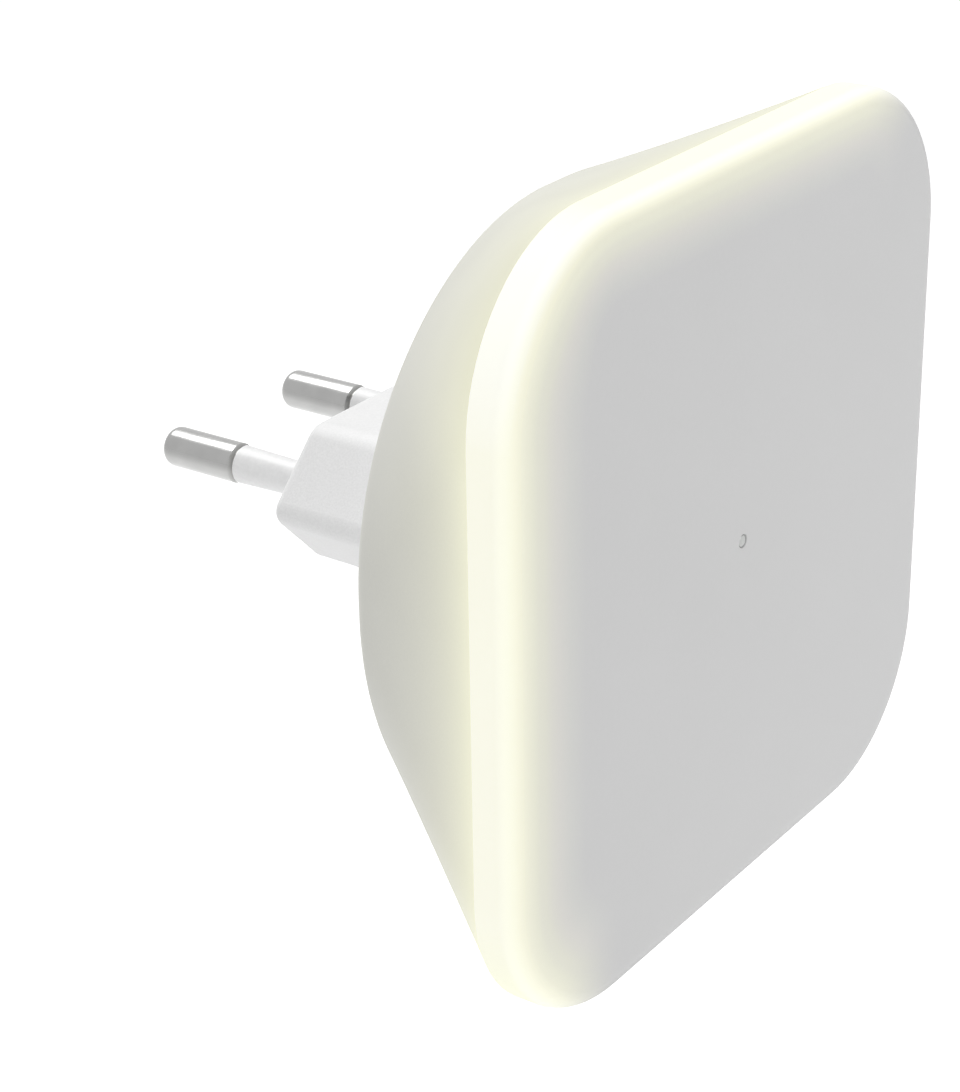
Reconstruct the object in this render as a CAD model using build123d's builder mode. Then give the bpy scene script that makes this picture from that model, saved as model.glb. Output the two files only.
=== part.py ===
"""Plug-in night light with a Europlug on its back and a three-position slide switch.

Frame: the origin is the centre of the plug face, midway between the pins. +Z is up and
+Y points into the wall. Depths are distances in front of the plug face, along -Y, so a
sketch on Plane.XZ.offset(depth) is extruded away from the wall by a positive amount.
The front, the disc, the switch and the boards are centred a little above the plug, and
are sketched on the plane "middle", which is Plane.XZ raised by that much.
"""
import os
from math import cos, radians, sin, sqrt

from build123d import *

os.makedirs("parts", exist_ok=True)

# ---- cover and housing -----------------------------------------------------------
width = 72.9  # side of the square front
corner = 16.0  # corner radius of the square front
body_rise = 0.75  # centre of the front and the disc above the pins
seam_depth = 36.3  # joint between housing and cover
cover_depth = 4.2  # outer face of the cover in front of the joint
edge_round = 2.0  # round along the front edge
cover_wall = 2.2  # side band of the cover
cover_face = 2.0  # front of the cover
shell_wall = 2.0  # housing, measured across the light
drum_radius = 30.2  # round end of the flare
drum_round = 1.4  # round between ledge and flare
side_flare = 1.17  # power of the flare over the flat sides
corner_flare = 1.02  # power of the flare over the corners
flare_steps = 4  # stations of the flare
flange_thickness = 2.0  # seat of the plug plate
seat_width = 3.0

# ---- plug plate ------------------------------------------------------------------
disc_depth = 17.6  # height of the plug boss above the disc
disc_radius = 25.5
disc_thickness = 3.2
disc_proud = 2.0  # disc behind the flat ledge of the housing
disc_gap = 0.3  # gap around the disc
disc_round = 0.4
boss_width = 35.3  # Europlug body, corner to corner
boss_height = 13.7
boss_draft = 0.8  # degrees
boss_side_round = 1.6
boss_top_round = 3.0
boss_edge_round = 0.8
boss_foot_round = 0.8
rating_width = 15.2  # recessed strip for the rating
rating_height = 2.6
rating_rise = 4.9  # strip above the pins
rating_sink = 0.3

# ---- pins and sleeves ------------------------------------------------------------
pin_spacing = 18.6
pin_radius = 2.0
pin_length = 19.0
bare_length = 9.0  # uncovered metal
pin_tip_round = 1.4
core_radius = 1.25  # pin inside its sleeve
core_fit = 0.05
ring_gap = 0.25  # dark ring between sleeve and metal
head_radius = 2.2
head_thickness = 1.0
insert_radius = 3.55
insert_fit = 0.08
collar_radius = 4.4
collar_thickness = 1.5
sleeve_radius = 1.9  # at the metal
waist_radius = 1.72
foot_radius = 2.7  # sleeve where it leaves the insert
foot_height = 2.6
clamp_thickness = 1.5
clamp_margin = 3.7  # clamp past the middle of each pin
clamp_height = 8.8
clamp_fit = 0.2
clamp_screw_length = 8.0

# ---- slide switch ----------------------------------------------------------------
switch_rise = 16.3  # centre of the recess above the disc's centre
recess_width = 20.8
recess_height = 11.4
recess_corner = 1.6
recess_sink = 1.3
knob_width = 3.1
knob_height = 3.0
knob_top = 0.25  # knob below the disc's face
knob_round = 0.45
travel = 3.0  # each way from OFF
knob_fit = 0.1
slide_thickness = 0.8
slide_length = 9.8
slide_height = 5.2
carrier_length = 7.0
carrier_height = 4.4
carrier_thickness = 1.8
sheet = 0.4  # frame of the switch
frame_height = 6.6
slide_fit = 0.1
frame_depth = 4.8
base_thickness = 0.8
clip_thickness = 0.3
clip_length = 6.0
clip_height = 3.2
terminal_width = 0.9
terminal_thickness = 0.4
terminal_pitch = 4.0
terminal_margin = 1.1  # rows of terminals inside the edge of the base
terminal_columns = 4

# ---- power board -----------------------------------------------------------------
board_stand = 6.0  # power board in front of the plate
board_thickness = 1.4
board_margin = 1.2  # power board inside the opening that it passes
post_radius = 2.0
post_margin = 2.8  # posts inside the edge of the board
post_angle = 17.6  # degrees, two posts above the middle
low_post_angle = 51.1  # degrees, two posts below it
pilot_radius = 0.95
pilot_sink = 5.0
screw_radius = 0.9
screw_head_radius = 1.8
screw_head = 1.2
screw_length = 4.6
screw_hole = 1.2
wire_radius = 0.7
wire_shift_x = 1.7
wire_shift_z = 1.9
film_width = 16.0
film_height = 10.4
film_thickness = 5.0
film_margin = 1.5  # film capacitor above the lowest point of the board
film_round = 0.6
can_width = 5.0  # electrolytic capacitor, across
can_length = 11.0
can_x = -7.4
can_gap = 1.5  # can below the frame of the switch
lead_radius = 0.3
lead_reach = 0.9
crimp_place = 1.8
crimp_radius = 0.35
bleed_radius = 1.2
bleed_length = 6.4
bleed_x = 7.4
fuse_radius = 1.4
fuse_length = 7.0
fuse_margin = 4.9  # fuse resistor inside the edge of the board
fuse_z = -4.4
resistor_lift = 0.3
varistor_radius = 3.2
varistor_thickness = 2.6
varistor_margin = 4.3  # varistor inside the edge of the board
varistor_z = -4.6
bridge_width = 4.8
bridge_height = 3.9
bridge_thickness = 2.4
bridge_x = -8.0
bridge_z = -8.0
chip_width = 4.9
chip_height = 3.9
chip_thickness = 1.5
chip_x = 7.0
chip_z = -7.0
leg_width = 0.4
leg_reach = 0.9
leg_pitch = 1.27
bridge_leg_width = 0.7
bridge_leg_pitch = 2.5
header_width = 7.6
header_height = 2.5
header_z = 9.0
header_pins = 3
header_pitch = 2.54
header_pin_radius = 0.35
header_pin_fit = 0.1
header_pin_sink = 2.0
header_pin_end = 0.6

# ---- lamp board ------------------------------------------------------------------
lamp_thickness = 1.0
lamp_margin = 5.65  # lamp board inside the front's outline
pillar_radius = 2.5
pillar_margin = 12.45  # pillars inside the front's outline
led_size = 3.0
led_height = 0.8
led_margin = 8.15  # lamps inside the front's outline
led_pitch = 9.6
leds_per_side = 4
shade_margin = 3.9  # shade inside the rows of lamps
shade_corner = 8.0
shade_wall = 1.2
shade_gap = 0.3  # shade behind the cover's face
shade_peg_radius = 1.0
peg_fit = 0.05
pipe_radius = 0.55
pipe_fit = 0.07
pipe_flange = 1.6
pipe_sink = 0.15  # end of the pipe below the cover's face
sensor_radius = 1.5
sensor_height = 1.2
sensor_gap = 0.3
sensor_dome = 0.4

# ---- snap hooks ------------------------------------------------------------------
tab_width = 6.0
tab_thickness = 1.3
tab_place = 12.0
tab_inset = 3.75  # outer face of a tab inside the front's outline
tab_reach = 3.4  # free end of a tab behind the joint
nib_height = 0.9
nib_length = 1.2
nib_room = 0.3
hook_width = 5.0
hook_thickness = 1.2
hook_gap = 0.4
hook_reach = 0.9
hook_nib = 1.2
hook_angle = 30.0

middle = Plane((0, 0, body_rise), (1, 0, 0), (0, -1, 0))
half = width / 2
corner_reach = (half - corner) * sqrt(2) + corner
drum_depth = disc_depth + disc_proud
flare_length = seam_depth - drum_depth
flange_depth = disc_depth + disc_thickness
flange_front = flange_depth + flange_thickness
flange_bore = disc_radius - seat_width
recess_floor = disc_depth + recess_sink
board_depth = flange_depth + board_stand
board_front = board_depth + board_thickness
board_radius = flange_bore - board_margin
post_ring = board_radius - post_margin
posts = [
    (post_ring * cos(radians(angle)), post_ring * sin(radians(angle)))
    for angle in (post_angle, 180 - post_angle, -low_post_angle, low_post_angle - 180)
]
face_depth = seam_depth + cover_depth
cover_inside = face_depth - cover_face
lamp_stack = lamp_thickness + sensor_height + shade_wall + shade_gap
lamp_depth = (board_front + bridge_thickness + cover_inside - lamp_stack) / 2
lamp_front = lamp_depth + lamp_thickness
shade_front = cover_inside - shade_gap
tab_depth = seam_depth - tab_reach
pillar_place = half - pillar_margin
led_row = half - led_margin
shade_half = led_row - shade_margin
collar_depth = flange_depth + collar_thickness
head_depth = collar_depth + head_thickness


def flare_half(share, inset=0.0):
    """Half width of the flare at a share of its length."""
    return drum_radius + (half - drum_radius) * share**side_flare - inset


def flare_corner(share, inset=0.0):
    """Corner radius of the flare: nearly a full circle at the drum."""
    side = drum_radius + (half - drum_radius) * share**side_flare
    reach = drum_radius + 0.06 + (corner_reach - drum_radius - 0.06) * share**corner_flare
    return (side * sqrt(2) - reach) / (sqrt(2) - 1) - inset


# ---- rear housing ----------------------------------------------------------------
# The room inside follows the flare, less the wall, from the flange to the seam. The
# four pillars of the lamp board are left standing in it.
with BuildPart() as room:
    for step in range(flare_steps):
        share = (flange_front - drum_depth) / flare_length
        share += (1 - share) * step / (flare_steps - 1)
        with BuildSketch(middle.offset(drum_depth + flare_length * share)):
            side = 2 * flare_half(share, shell_wall)
            RectangleRounded(side, side, flare_corner(share, shell_wall))
    loft(ruled=True)
    with BuildSketch(middle.offset(flange_front)):
        with GridLocations(2 * pillar_place, 2 * pillar_place, 2, 2):
            Circle(pillar_radius)
    extrude(amount=lamp_depth - flange_front, mode=Mode.SUBTRACT)

with BuildPart() as rear_housing:
    for step in range(flare_steps):
        share = step / (flare_steps - 1)
        with BuildSketch(middle.offset(drum_depth + flare_length * share)):
            side = 2 * flare_half(share)
            RectangleRounded(side, side, flare_corner(share))
    loft()
    fillet(rear_housing.faces().sort_by(Axis.Y)[-1].edges(), drum_round)
    add(room.part, mode=Mode.SUBTRACT)
    # Recess of the plug plate, its flange and the opening that the boards pass.
    with BuildSketch(middle.offset(drum_depth)):
        Circle(disc_radius + disc_gap)
    extrude(amount=flange_depth - drum_depth, mode=Mode.SUBTRACT)
    with BuildSketch(middle.offset(flange_depth)):
        Circle(flange_bore)
    extrude(amount=flange_thickness, mode=Mode.SUBTRACT)
    # Screw holes of the pillars.
    with BuildSketch(middle.offset(lamp_depth)):
        with GridLocations(2 * pillar_place, 2 * pillar_place, 2, 2):
            Circle(pilot_radius)
    extrude(amount=-pilot_sink, mode=Mode.SUBTRACT)
    # Pockets that catch the nibs of the cover's tabs.
    nib_front = tab_depth + nib_length + nib_room
    with BuildSketch(middle.offset(tab_depth - nib_room)):
        for turn in range(4):
            with Locations(Rotation(0, 0, 90 * turn)):
                with Locations((-tab_place, half - tab_inset), (tab_place, half - tab_inset)):
                    Rectangle(tab_width + 2 * nib_room, 2 * (nib_height + nib_room))
    extrude(amount=nib_length + 2 * nib_room, mode=Mode.SUBTRACT)
rear_housing.part.label = "rear_housing"
export_step(rear_housing.part, "parts/rear_housing.step")

# ---- front cover -----------------------------------------------------------------
# A shallow opal cap with a rounded front edge and eight snap tabs inside its rim.
tab_line = half - tab_inset
with BuildPart() as front_cover:
    with BuildSketch(middle.offset(seam_depth)):
        RectangleRounded(width, width, corner)
    extrude(amount=face_depth - seam_depth)
    fillet(front_cover.faces().sort_by(Axis.Y)[0].edges(), edge_round)
    with BuildSketch(middle.offset(seam_depth)):
        inside = width - 2 * cover_wall
        RectangleRounded(inside, inside, corner - cover_wall)
    extrude(amount=cover_inside - seam_depth, mode=Mode.SUBTRACT)
    with BuildSketch(middle.offset(tab_depth)):
        for turn in range(4):
            with Locations(Rotation(0, 0, 90 * turn)):
                with GridLocations(2 * tab_place, 0, 2, 1):
                    with Locations((0, tab_line - tab_thickness / 2)):
                        Rectangle(tab_width, tab_thickness)
    extrude(amount=cover_inside - tab_depth)
    with BuildSketch(middle.offset(tab_depth)):
        for turn in range(4):
            with Locations(Rotation(0, 0, 90 * turn)):
                with GridLocations(2 * tab_place, 0, 2, 1):
                    with Locations((0, tab_line + nib_height / 2)):
                        Rectangle(tab_width, nib_height)
    extrude(amount=nib_length)
    with BuildSketch(middle.offset(face_depth)):
        Circle(pipe_radius + pipe_fit)
    extrude(amount=-cover_face, mode=Mode.SUBTRACT)
front_cover.part.label = "front_cover"
export_step(front_cover.part, "parts/front_cover.step")

# ---- plug plate ------------------------------------------------------------------
# The disc carries the drafted Europlug boss, the switch recess with its slot, the
# posts of the power board and four hooks that catch behind the housing's flange.
boss_top_x = (boss_width - boss_height) / 2
slot_width = 2 * (travel + knob_fit) + knob_width
slot_height = knob_height + 2 * knob_fit
with BuildPart() as plug_plate:
    with BuildSketch(Plane.XZ):
        with BuildLine():
            Polyline(
                (boss_width / 2, 0),
                (boss_top_x, boss_height / 2),
                (-boss_top_x, boss_height / 2),
                (-boss_width / 2, 0),
                (-boss_top_x, -boss_height / 2),
                (boss_top_x, -boss_height / 2),
                close=True,
            )
        make_face()
        corners = vertices().sort_by(Axis.X)
        fillet([corners[0], corners[-1]], boss_side_round)
        fillet(vertices().group_by(Axis.Y)[0] + vertices().group_by(Axis.Y)[-1], boss_top_round)
    extrude(amount=disc_depth, taper=-boss_draft)
    fillet(plug_plate.faces().sort_by(Axis.Y)[-1].edges(), boss_edge_round)
    with BuildSketch(middle.offset(disc_depth)):
        Circle(disc_radius)
    extrude(amount=disc_thickness)
    foot = plug_plate.edges().filter_by_position(Axis.Y, -disc_depth, -disc_depth)
    rim = foot.filter_by(GeomType.CIRCLE).sort_by(SortBy.RADIUS)[-1]
    fillet([edge for edge in foot if edge != rim], boss_foot_round)
    rim = plug_plate.edges().filter_by(GeomType.CIRCLE).filter_by_position(Axis.Y, -disc_depth, -disc_depth)
    fillet(rim.sort_by(SortBy.RADIUS)[-1], disc_round)
    # Bores of the pin inserts and pilot of the clamp screw.
    with BuildSketch(Plane.XZ):
        with GridLocations(pin_spacing, 0, 2, 1):
            Circle(insert_radius + insert_fit)
    extrude(amount=flange_depth, mode=Mode.SUBTRACT)
    with BuildSketch(Plane.XZ.offset(flange_depth)):
        Circle(pilot_radius)
    extrude(amount=-clamp_screw_length, mode=Mode.SUBTRACT)
    # Recessed strip of the rating.
    with BuildSketch(Plane.XZ):
        with Locations((0, rating_rise)):
            RectangleRounded(rating_width, rating_height, rating_sink)
    extrude(amount=rating_sink, mode=Mode.SUBTRACT)
    # Switch recess and the slot of the knob.
    with BuildSketch(middle.offset(disc_depth)):
        with Locations((0, switch_rise)):
            RectangleRounded(recess_width, recess_height, recess_corner)
    extrude(amount=recess_sink, mode=Mode.SUBTRACT)
    with BuildSketch(middle.offset(recess_floor)):
        with Locations((0, switch_rise)):
            Rectangle(slot_width, slot_height)
    extrude(amount=flange_depth - recess_floor, mode=Mode.SUBTRACT)
    # Posts of the power board.
    with BuildSketch(middle.offset(flange_depth)):
        with Locations(*posts):
            Circle(post_radius)
    extrude(amount=board_depth - flange_depth)
    with BuildSketch(middle.offset(board_depth)):
        with Locations(*posts):
            Circle(pilot_radius)
    extrude(amount=-pilot_sink, mode=Mode.SUBTRACT)
    # Snap hooks: a leaf through the flange's opening and a nib over its front face.
    leaf = flange_bore - hook_gap
    with BuildSketch(middle.offset(flange_depth)):
        for angle in (hook_angle, 180 - hook_angle, 180 + hook_angle, -hook_angle):
            with Locations(Rotation(0, 0, angle)):
                with Locations((leaf - hook_thickness / 2, 0)):
                    Rectangle(hook_thickness, hook_width)
    extrude(amount=flange_thickness + hook_nib)
    with BuildSketch(middle.offset(flange_front)):
        for angle in (hook_angle, 180 - hook_angle, 180 + hook_angle, -hook_angle):
            with Locations(Rotation(0, 0, angle)):
                with Locations((leaf + (hook_reach - hook_thickness) / 2, 0)):
                    Rectangle(hook_thickness + hook_reach, hook_width)
    extrude(amount=hook_nib)
plug_plate.part.label = "plug_plate"
export_step(plug_plate.part, "parts/plug_plate.step")

# ---- pins ------------------------------------------------------------------------
# Bare rounded end, thin core through the sleeve and a flat head inside.
with BuildPart() as line_pin:
    with BuildSketch(Plane.XZ.offset(-pin_length)):
        with Locations((-pin_spacing / 2, 0)):
            Circle(pin_radius)
    extrude(amount=bare_length)
    fillet(line_pin.edges().sort_by(Axis.Y)[-1], pin_tip_round)
    with BuildSketch(Plane.XZ.offset(bare_length - pin_length)):
        with Locations((-pin_spacing / 2, 0)):
            Circle(core_radius)
    extrude(amount=pin_length - bare_length + collar_depth)
    with BuildSketch(Plane.XZ.offset(collar_depth)):
        with Locations((-pin_spacing / 2, 0)):
            Circle(head_radius)
    extrude(amount=head_thickness)
line_pin.part.label = "line_pin"
export_step(line_pin.part, "parts/line_pin.step")

with BuildPart() as neutral_pin:
    mirror(line_pin.part, about=Plane.YZ)
neutral_pin.part.label = "neutral_pin"
export_step(neutral_pin.part, "parts/neutral_pin.step")

# ---- pin sleeves -----------------------------------------------------------------
# Collar inside the plate, insert through the boss, flush with its face, then a foot
# that narrows to a waist and widens again towards the bare metal.
sleeve_end = pin_length - bare_length - ring_gap
bore = core_radius + core_fit
with BuildPart() as line_sleeve:
    with BuildSketch(Plane((-pin_spacing / 2, 0, 0), (1, 0, 0), (0, 0, 1))):
        with BuildLine():
            Polyline(
                (waist_radius, foot_height),
                (foot_radius, 0),
                (insert_radius, 0),
                (insert_radius, -flange_depth),
                (collar_radius, -flange_depth),
                (collar_radius, -collar_depth),
                (bore, -collar_depth),
                (bore, sleeve_end),
                (sleeve_radius, sleeve_end),
                close=True,
            )
        make_face()
        fillet(vertices().sort_by_distance((foot_radius, 0))[0], foot_radius - waist_radius)
    revolve(axis=Axis((-pin_spacing / 2, 0, 0), (0, 1, 0)))
line_sleeve.part.label = "line_sleeve"
export_step(line_sleeve.part, "parts/line_sleeve.step")

with BuildPart() as neutral_sleeve:
    mirror(line_sleeve.part, about=Plane.YZ)
neutral_sleeve.part.label = "neutral_sleeve"
export_step(neutral_sleeve.part, "parts/neutral_sleeve.step")

# ---- pin clamp and its screw -----------------------------------------------------
clamp_front = collar_depth + clamp_thickness
with BuildPart() as pin_clamp:
    with BuildSketch(Plane.XZ.offset(collar_depth)):
        RectangleRounded(pin_spacing + 2 * clamp_margin, clamp_height, clamp_height / 4)
        with GridLocations(pin_spacing, 0, 2, 1):
            Circle(head_radius + clamp_fit, mode=Mode.SUBTRACT)
        Circle(screw_hole, mode=Mode.SUBTRACT)
    extrude(amount=clamp_thickness)
pin_clamp.part.label = "pin_clamp"
export_step(pin_clamp.part, "parts/pin_clamp.step")

with BuildPart() as clamp_screw:
    with BuildSketch(Plane.XZ.offset(clamp_front)):
        Circle(screw_head_radius)
    extrude(amount=screw_head)
    chamfer(clamp_screw.edges().sort_by(Axis.Y)[0], screw_head / 3)
    with BuildSketch(Plane.XZ.offset(clamp_front)):
        Circle(screw_radius)
    extrude(amount=-clamp_screw_length)
clamp_screw.part.label = "clamp_screw"
export_step(clamp_screw.part, "parts/clamp_screw.step")

# ---- wires from the pins to the power board --------------------------------------
wire_run = (board_depth - head_depth) / 3
wire_x = pin_spacing / 2 + wire_shift_x
with BuildPart() as line_wire:
    with BuildLine():
        route = FilletPolyline(
            (-pin_spacing / 2, -head_depth, 0),
            (-pin_spacing / 2, -head_depth - wire_run, 0),
            (-wire_x, -board_depth + wire_run, wire_shift_z),
            (-wire_x, -board_depth, wire_shift_z),
            radius=wire_run,
        )
    with BuildSketch(Plane(route @ 0, z_dir=route % 0)):
        Circle(wire_radius)
    sweep()
line_wire.part.label = "line_wire"
export_step(line_wire.part, "parts/line_wire.step")

with BuildPart() as neutral_wire:
    mirror(line_wire.part, about=Plane.YZ)
neutral_wire.part.label = "neutral_wire"
export_step(neutral_wire.part, "parts/neutral_wire.step")

# ---- slide switch ----------------------------------------------------------------
# The slider's knob stands in the slot; its plate runs under the frame's sheet.
slide_depth = flange_depth + sheet + slide_fit
carrier_depth = slide_depth + slide_thickness
clip_depth = carrier_depth + carrier_thickness
frame_front = flange_depth + frame_depth
base_depth = frame_front - base_thickness
knob_depth = disc_depth + knob_top
with BuildPart() as switch_slider:
    with BuildSketch(middle.offset(knob_depth)):
        with Locations((0, switch_rise)):
            Rectangle(knob_width, knob_height)
    extrude(amount=slide_depth - knob_depth)
    fillet(switch_slider.edges().filter_by(Axis.Y), knob_round)
    fillet(switch_slider.faces().sort_by(Axis.Y)[-1].edges(), knob_round / 2)
    with BuildSketch(middle.offset(slide_depth)):
        with Locations((0, switch_rise)):
            Rectangle(slide_length, slide_height)
    extrude(amount=slide_thickness)
    with BuildSketch(middle.offset(carrier_depth)):
        with Locations((0, switch_rise)):
            Rectangle(carrier_length, carrier_height)
    extrude(amount=carrier_thickness)
switch_slider.part.label = "switch_slider"
export_step(switch_slider.part, "parts/switch_slider.step")

# A bridge of thin brass under the carrier, its two feet just clear of the base.
with BuildPart() as switch_contact:
    with BuildSketch(middle.offset(clip_depth)):
        with Locations((0, switch_rise)):
            Rectangle(clip_length, clip_height)
    extrude(amount=clip_thickness)
    with BuildSketch(middle.offset(clip_depth)):
        with Locations((0, switch_rise)):
            with GridLocations(clip_length - clip_thickness, 0, 2, 1):
                Rectangle(clip_thickness, clip_height)
    extrude(amount=base_depth - slide_fit - clip_depth)
switch_contact.part.label = "switch_contact"
export_step(switch_contact.part, "parts/switch_contact.step")

frame_length = slide_length + 2 * (travel + slide_fit + sheet)
with BuildPart() as switch_frame:
    with BuildSketch(middle.offset(flange_depth)):
        with Locations((0, switch_rise)):
            Rectangle(frame_length, frame_height)
    extrude(amount=frame_depth)
    with BuildSketch(middle.offset(flange_depth + sheet)):
        with Locations((0, switch_rise)):
            Rectangle(frame_length - 2 * sheet, frame_height - 2 * sheet)
    extrude(amount=frame_depth - sheet, mode=Mode.SUBTRACT)
    with BuildSketch(middle.offset(flange_depth)):
        with Locations((0, switch_rise)):
            Rectangle(slot_width, slot_height)
    extrude(amount=sheet, mode=Mode.SUBTRACT)
switch_frame.part.label = "switch_frame"
export_step(switch_frame.part, "parts/switch_frame.step")

with BuildPart() as switch_base:
    with BuildSketch(middle.offset(base_depth)):
        with Locations((0, switch_rise)):
            Rectangle(frame_length - 2 * sheet, frame_height - 2 * sheet)
    extrude(amount=base_thickness)
switch_base.part.label = "switch_base"
export_step(switch_base.part, "parts/switch_base.step")

terminal_rows = frame_height - 2 * (sheet + terminal_margin)
with BuildPart() as switch_terminals:
    with BuildSketch(middle.offset(frame_front)):
        with Locations((0, switch_rise)):
            with GridLocations(terminal_pitch, terminal_rows, terminal_columns, 2):
                Rectangle(terminal_width, terminal_thickness)
    extrude(amount=board_depth - frame_front)
switch_terminals.part.label = "switch_terminals"
export_step(switch_terminals.part, "parts/switch_terminals.step")

# ---- power board and its screws --------------------------------------------------
with BuildPart() as power_board:
    with BuildSketch(middle.offset(board_depth)):
        Circle(board_radius)
        with Locations(*posts):
            Circle(screw_hole, mode=Mode.SUBTRACT)
    extrude(amount=board_thickness)
power_board.part.label = "power_board"
export_step(power_board.part, "parts/power_board.step")

with BuildPart() as board_screws:
    with BuildSketch(middle.offset(board_front)):
        with Locations(*posts):
            Circle(screw_head_radius)
    extrude(amount=screw_head)
    chamfer(board_screws.faces().sort_by(Axis.Y)[0:4].edges(), screw_head / 3)
    with BuildSketch(middle.offset(board_front)):
        with Locations(*posts):
            Circle(screw_radius)
    extrude(amount=-screw_length)
board_screws.part.label = "board_screws"
export_step(board_screws.part, "parts/board_screws.step")

# ---- parts on the rear face of the power board -----------------------------------
with BuildPart() as film_capacitor:
    with BuildSketch(middle.offset(board_depth - film_thickness)):
        with Locations((0, film_margin + film_height / 2 - board_radius)):
            Rectangle(film_width, film_height)
    extrude(amount=film_thickness)
    fillet(film_capacitor.edges().filter_by(Axis.Y), film_round)
film_capacitor.part.label = "film_capacitor"
export_step(film_capacitor.part, "parts/film_capacitor.step")

# The can lies along the board, with its crimp near the leads.
can_radius = can_width / 2
can_depth = board_depth - resistor_lift - can_radius
can_end = can_x + can_length / 2
can_z = switch_rise - frame_height / 2 - can_gap - can_radius
can_rise = body_rise + can_z
with BuildPart() as electrolytic_capacitor:
    with BuildSketch(Plane((can_x, -can_depth, can_rise), (1, 0, 0), (0, 0, 1))):
        with Locations((0, can_radius / 2)):
            Rectangle(can_length, can_radius)
        with Locations((can_length / 2 - crimp_place, can_radius)):
            Rectangle(2 * crimp_radius, crimp_radius, mode=Mode.SUBTRACT)
        chamfer(vertices().sort_by_distance((-can_length / 2, can_radius))[0], crimp_radius)
    revolve(axis=Axis((0, -can_depth, can_rise), (1, 0, 0)))
    with BuildSketch(Plane.YZ.offset(can_end)):
        with Locations((-can_depth, can_rise)):
            with GridLocations(0, can_radius, 1, 2):
                Circle(lead_radius)
    extrude(amount=lead_reach)
    with BuildSketch(middle.offset(can_depth)):
        with Locations((can_end + lead_reach, can_z)):
            with GridLocations(0, can_radius, 1, 2):
                Circle(lead_radius)
    extrude(amount=board_depth - can_depth)
electrolytic_capacitor.part.label = "electrolytic_capacitor"
export_step(electrolytic_capacitor.part, "parts/electrolytic_capacitor.step")

bleed_depth = board_depth - resistor_lift - bleed_radius
with BuildPart() as bleed_resistor:
    with BuildSketch(Plane.YZ.offset(bleed_x - bleed_length / 2)):
        with Locations((-bleed_depth, can_rise)):
            Circle(bleed_radius)
    extrude(amount=bleed_length)
    chamfer(bleed_resistor.edges(), bleed_radius / 4)
    with BuildSketch(Plane.YZ.offset(bleed_x - bleed_length / 2 - lead_reach)):
        with Locations((-bleed_depth, can_rise)):
            Circle(lead_radius)
    extrude(amount=bleed_length + 2 * lead_reach)
    with BuildSketch(middle.offset(bleed_depth)):
        with Locations((bleed_x, can_z)):
            with GridLocations(bleed_length + 2 * lead_reach, 0, 2, 1):
                Circle(lead_radius)
    extrude(amount=board_depth - bleed_depth)
bleed_resistor.part.label = "bleed_resistor"
export_step(bleed_resistor.part, "parts/bleed_resistor.step")

fuse_x = fuse_margin - board_radius
fuse_depth = board_depth - resistor_lift - fuse_radius
with BuildPart() as fuse_resistor:
    with BuildSketch(Plane.XY.offset(body_rise + fuse_z - fuse_length / 2)):
        with Locations((fuse_x, -fuse_depth)):
            Circle(fuse_radius)
    extrude(amount=fuse_length)
    chamfer(fuse_resistor.edges(), fuse_radius / 4)
    with BuildSketch(Plane.XY.offset(body_rise + fuse_z - fuse_length / 2 - lead_reach)):
        with Locations((fuse_x, -fuse_depth)):
            Circle(lead_radius)
    extrude(amount=fuse_length + 2 * lead_reach)
    with BuildSketch(middle.offset(fuse_depth)):
        with Locations((fuse_x, fuse_z)):
            with GridLocations(0, fuse_length + 2 * lead_reach, 1, 2):
                Circle(lead_radius)
    extrude(amount=board_depth - fuse_depth)
fuse_resistor.part.label = "fuse_resistor"
export_step(fuse_resistor.part, "parts/fuse_resistor.step")

varistor_x = board_radius - varistor_margin
with BuildPart() as varistor:
    with BuildSketch(middle.offset(board_depth - varistor_thickness)):
        with Locations((varistor_x, varistor_z)):
            Circle(varistor_radius)
    extrude(amount=varistor_thickness)
    chamfer(varistor.edges().sort_by(Axis.Y)[-1], varistor_thickness / 4)
varistor.part.label = "varistor"
export_step(varistor.part, "parts/varistor.step")

# ---- parts on the front face of the power board ----------------------------------
with BuildPart() as bridge_rectifier:
    with BuildSketch(middle.offset(board_front)):
        with Locations((bridge_x, bridge_z)):
            Rectangle(bridge_width, bridge_height)
    extrude(amount=bridge_thickness)
    with BuildSketch(middle.offset(board_front)):
        with Locations((bridge_x, bridge_z)):
            with GridLocations(bridge_leg_pitch, bridge_height + leg_reach, 2, 2):
                Rectangle(bridge_leg_width, leg_reach)
    extrude(amount=bridge_thickness / 3)
bridge_rectifier.part.label = "bridge_rectifier"
export_step(bridge_rectifier.part, "parts/bridge_rectifier.step")

with BuildPart() as control_chip:
    with BuildSketch(middle.offset(board_front)):
        with Locations((chip_x, chip_z)):
            Rectangle(chip_width, chip_height)
    extrude(amount=chip_thickness)
    with BuildSketch(middle.offset(board_front)):
        with Locations((chip_x, chip_z)):
            with GridLocations(leg_pitch, chip_height + leg_reach, 4, 2):
                Rectangle(leg_width, leg_reach)
    extrude(amount=chip_thickness / 2)
control_chip.part.label = "control_chip"
export_step(control_chip.part, "parts/control_chip.step")

with BuildPart() as board_header:
    with BuildSketch(middle.offset(board_front)):
        with Locations((0, header_z)):
            Rectangle(header_width, header_height)
    extrude(amount=lamp_depth - board_front)
    with BuildSketch(middle.offset(lamp_depth)):
        with Locations((0, header_z)):
            with GridLocations(header_pitch, 0, header_pins, 1):
                Circle(header_pin_radius + header_pin_fit)
    extrude(amount=-header_pin_sink, mode=Mode.SUBTRACT)
board_header.part.label = "board_header"
export_step(board_header.part, "parts/board_header.step")

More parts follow.
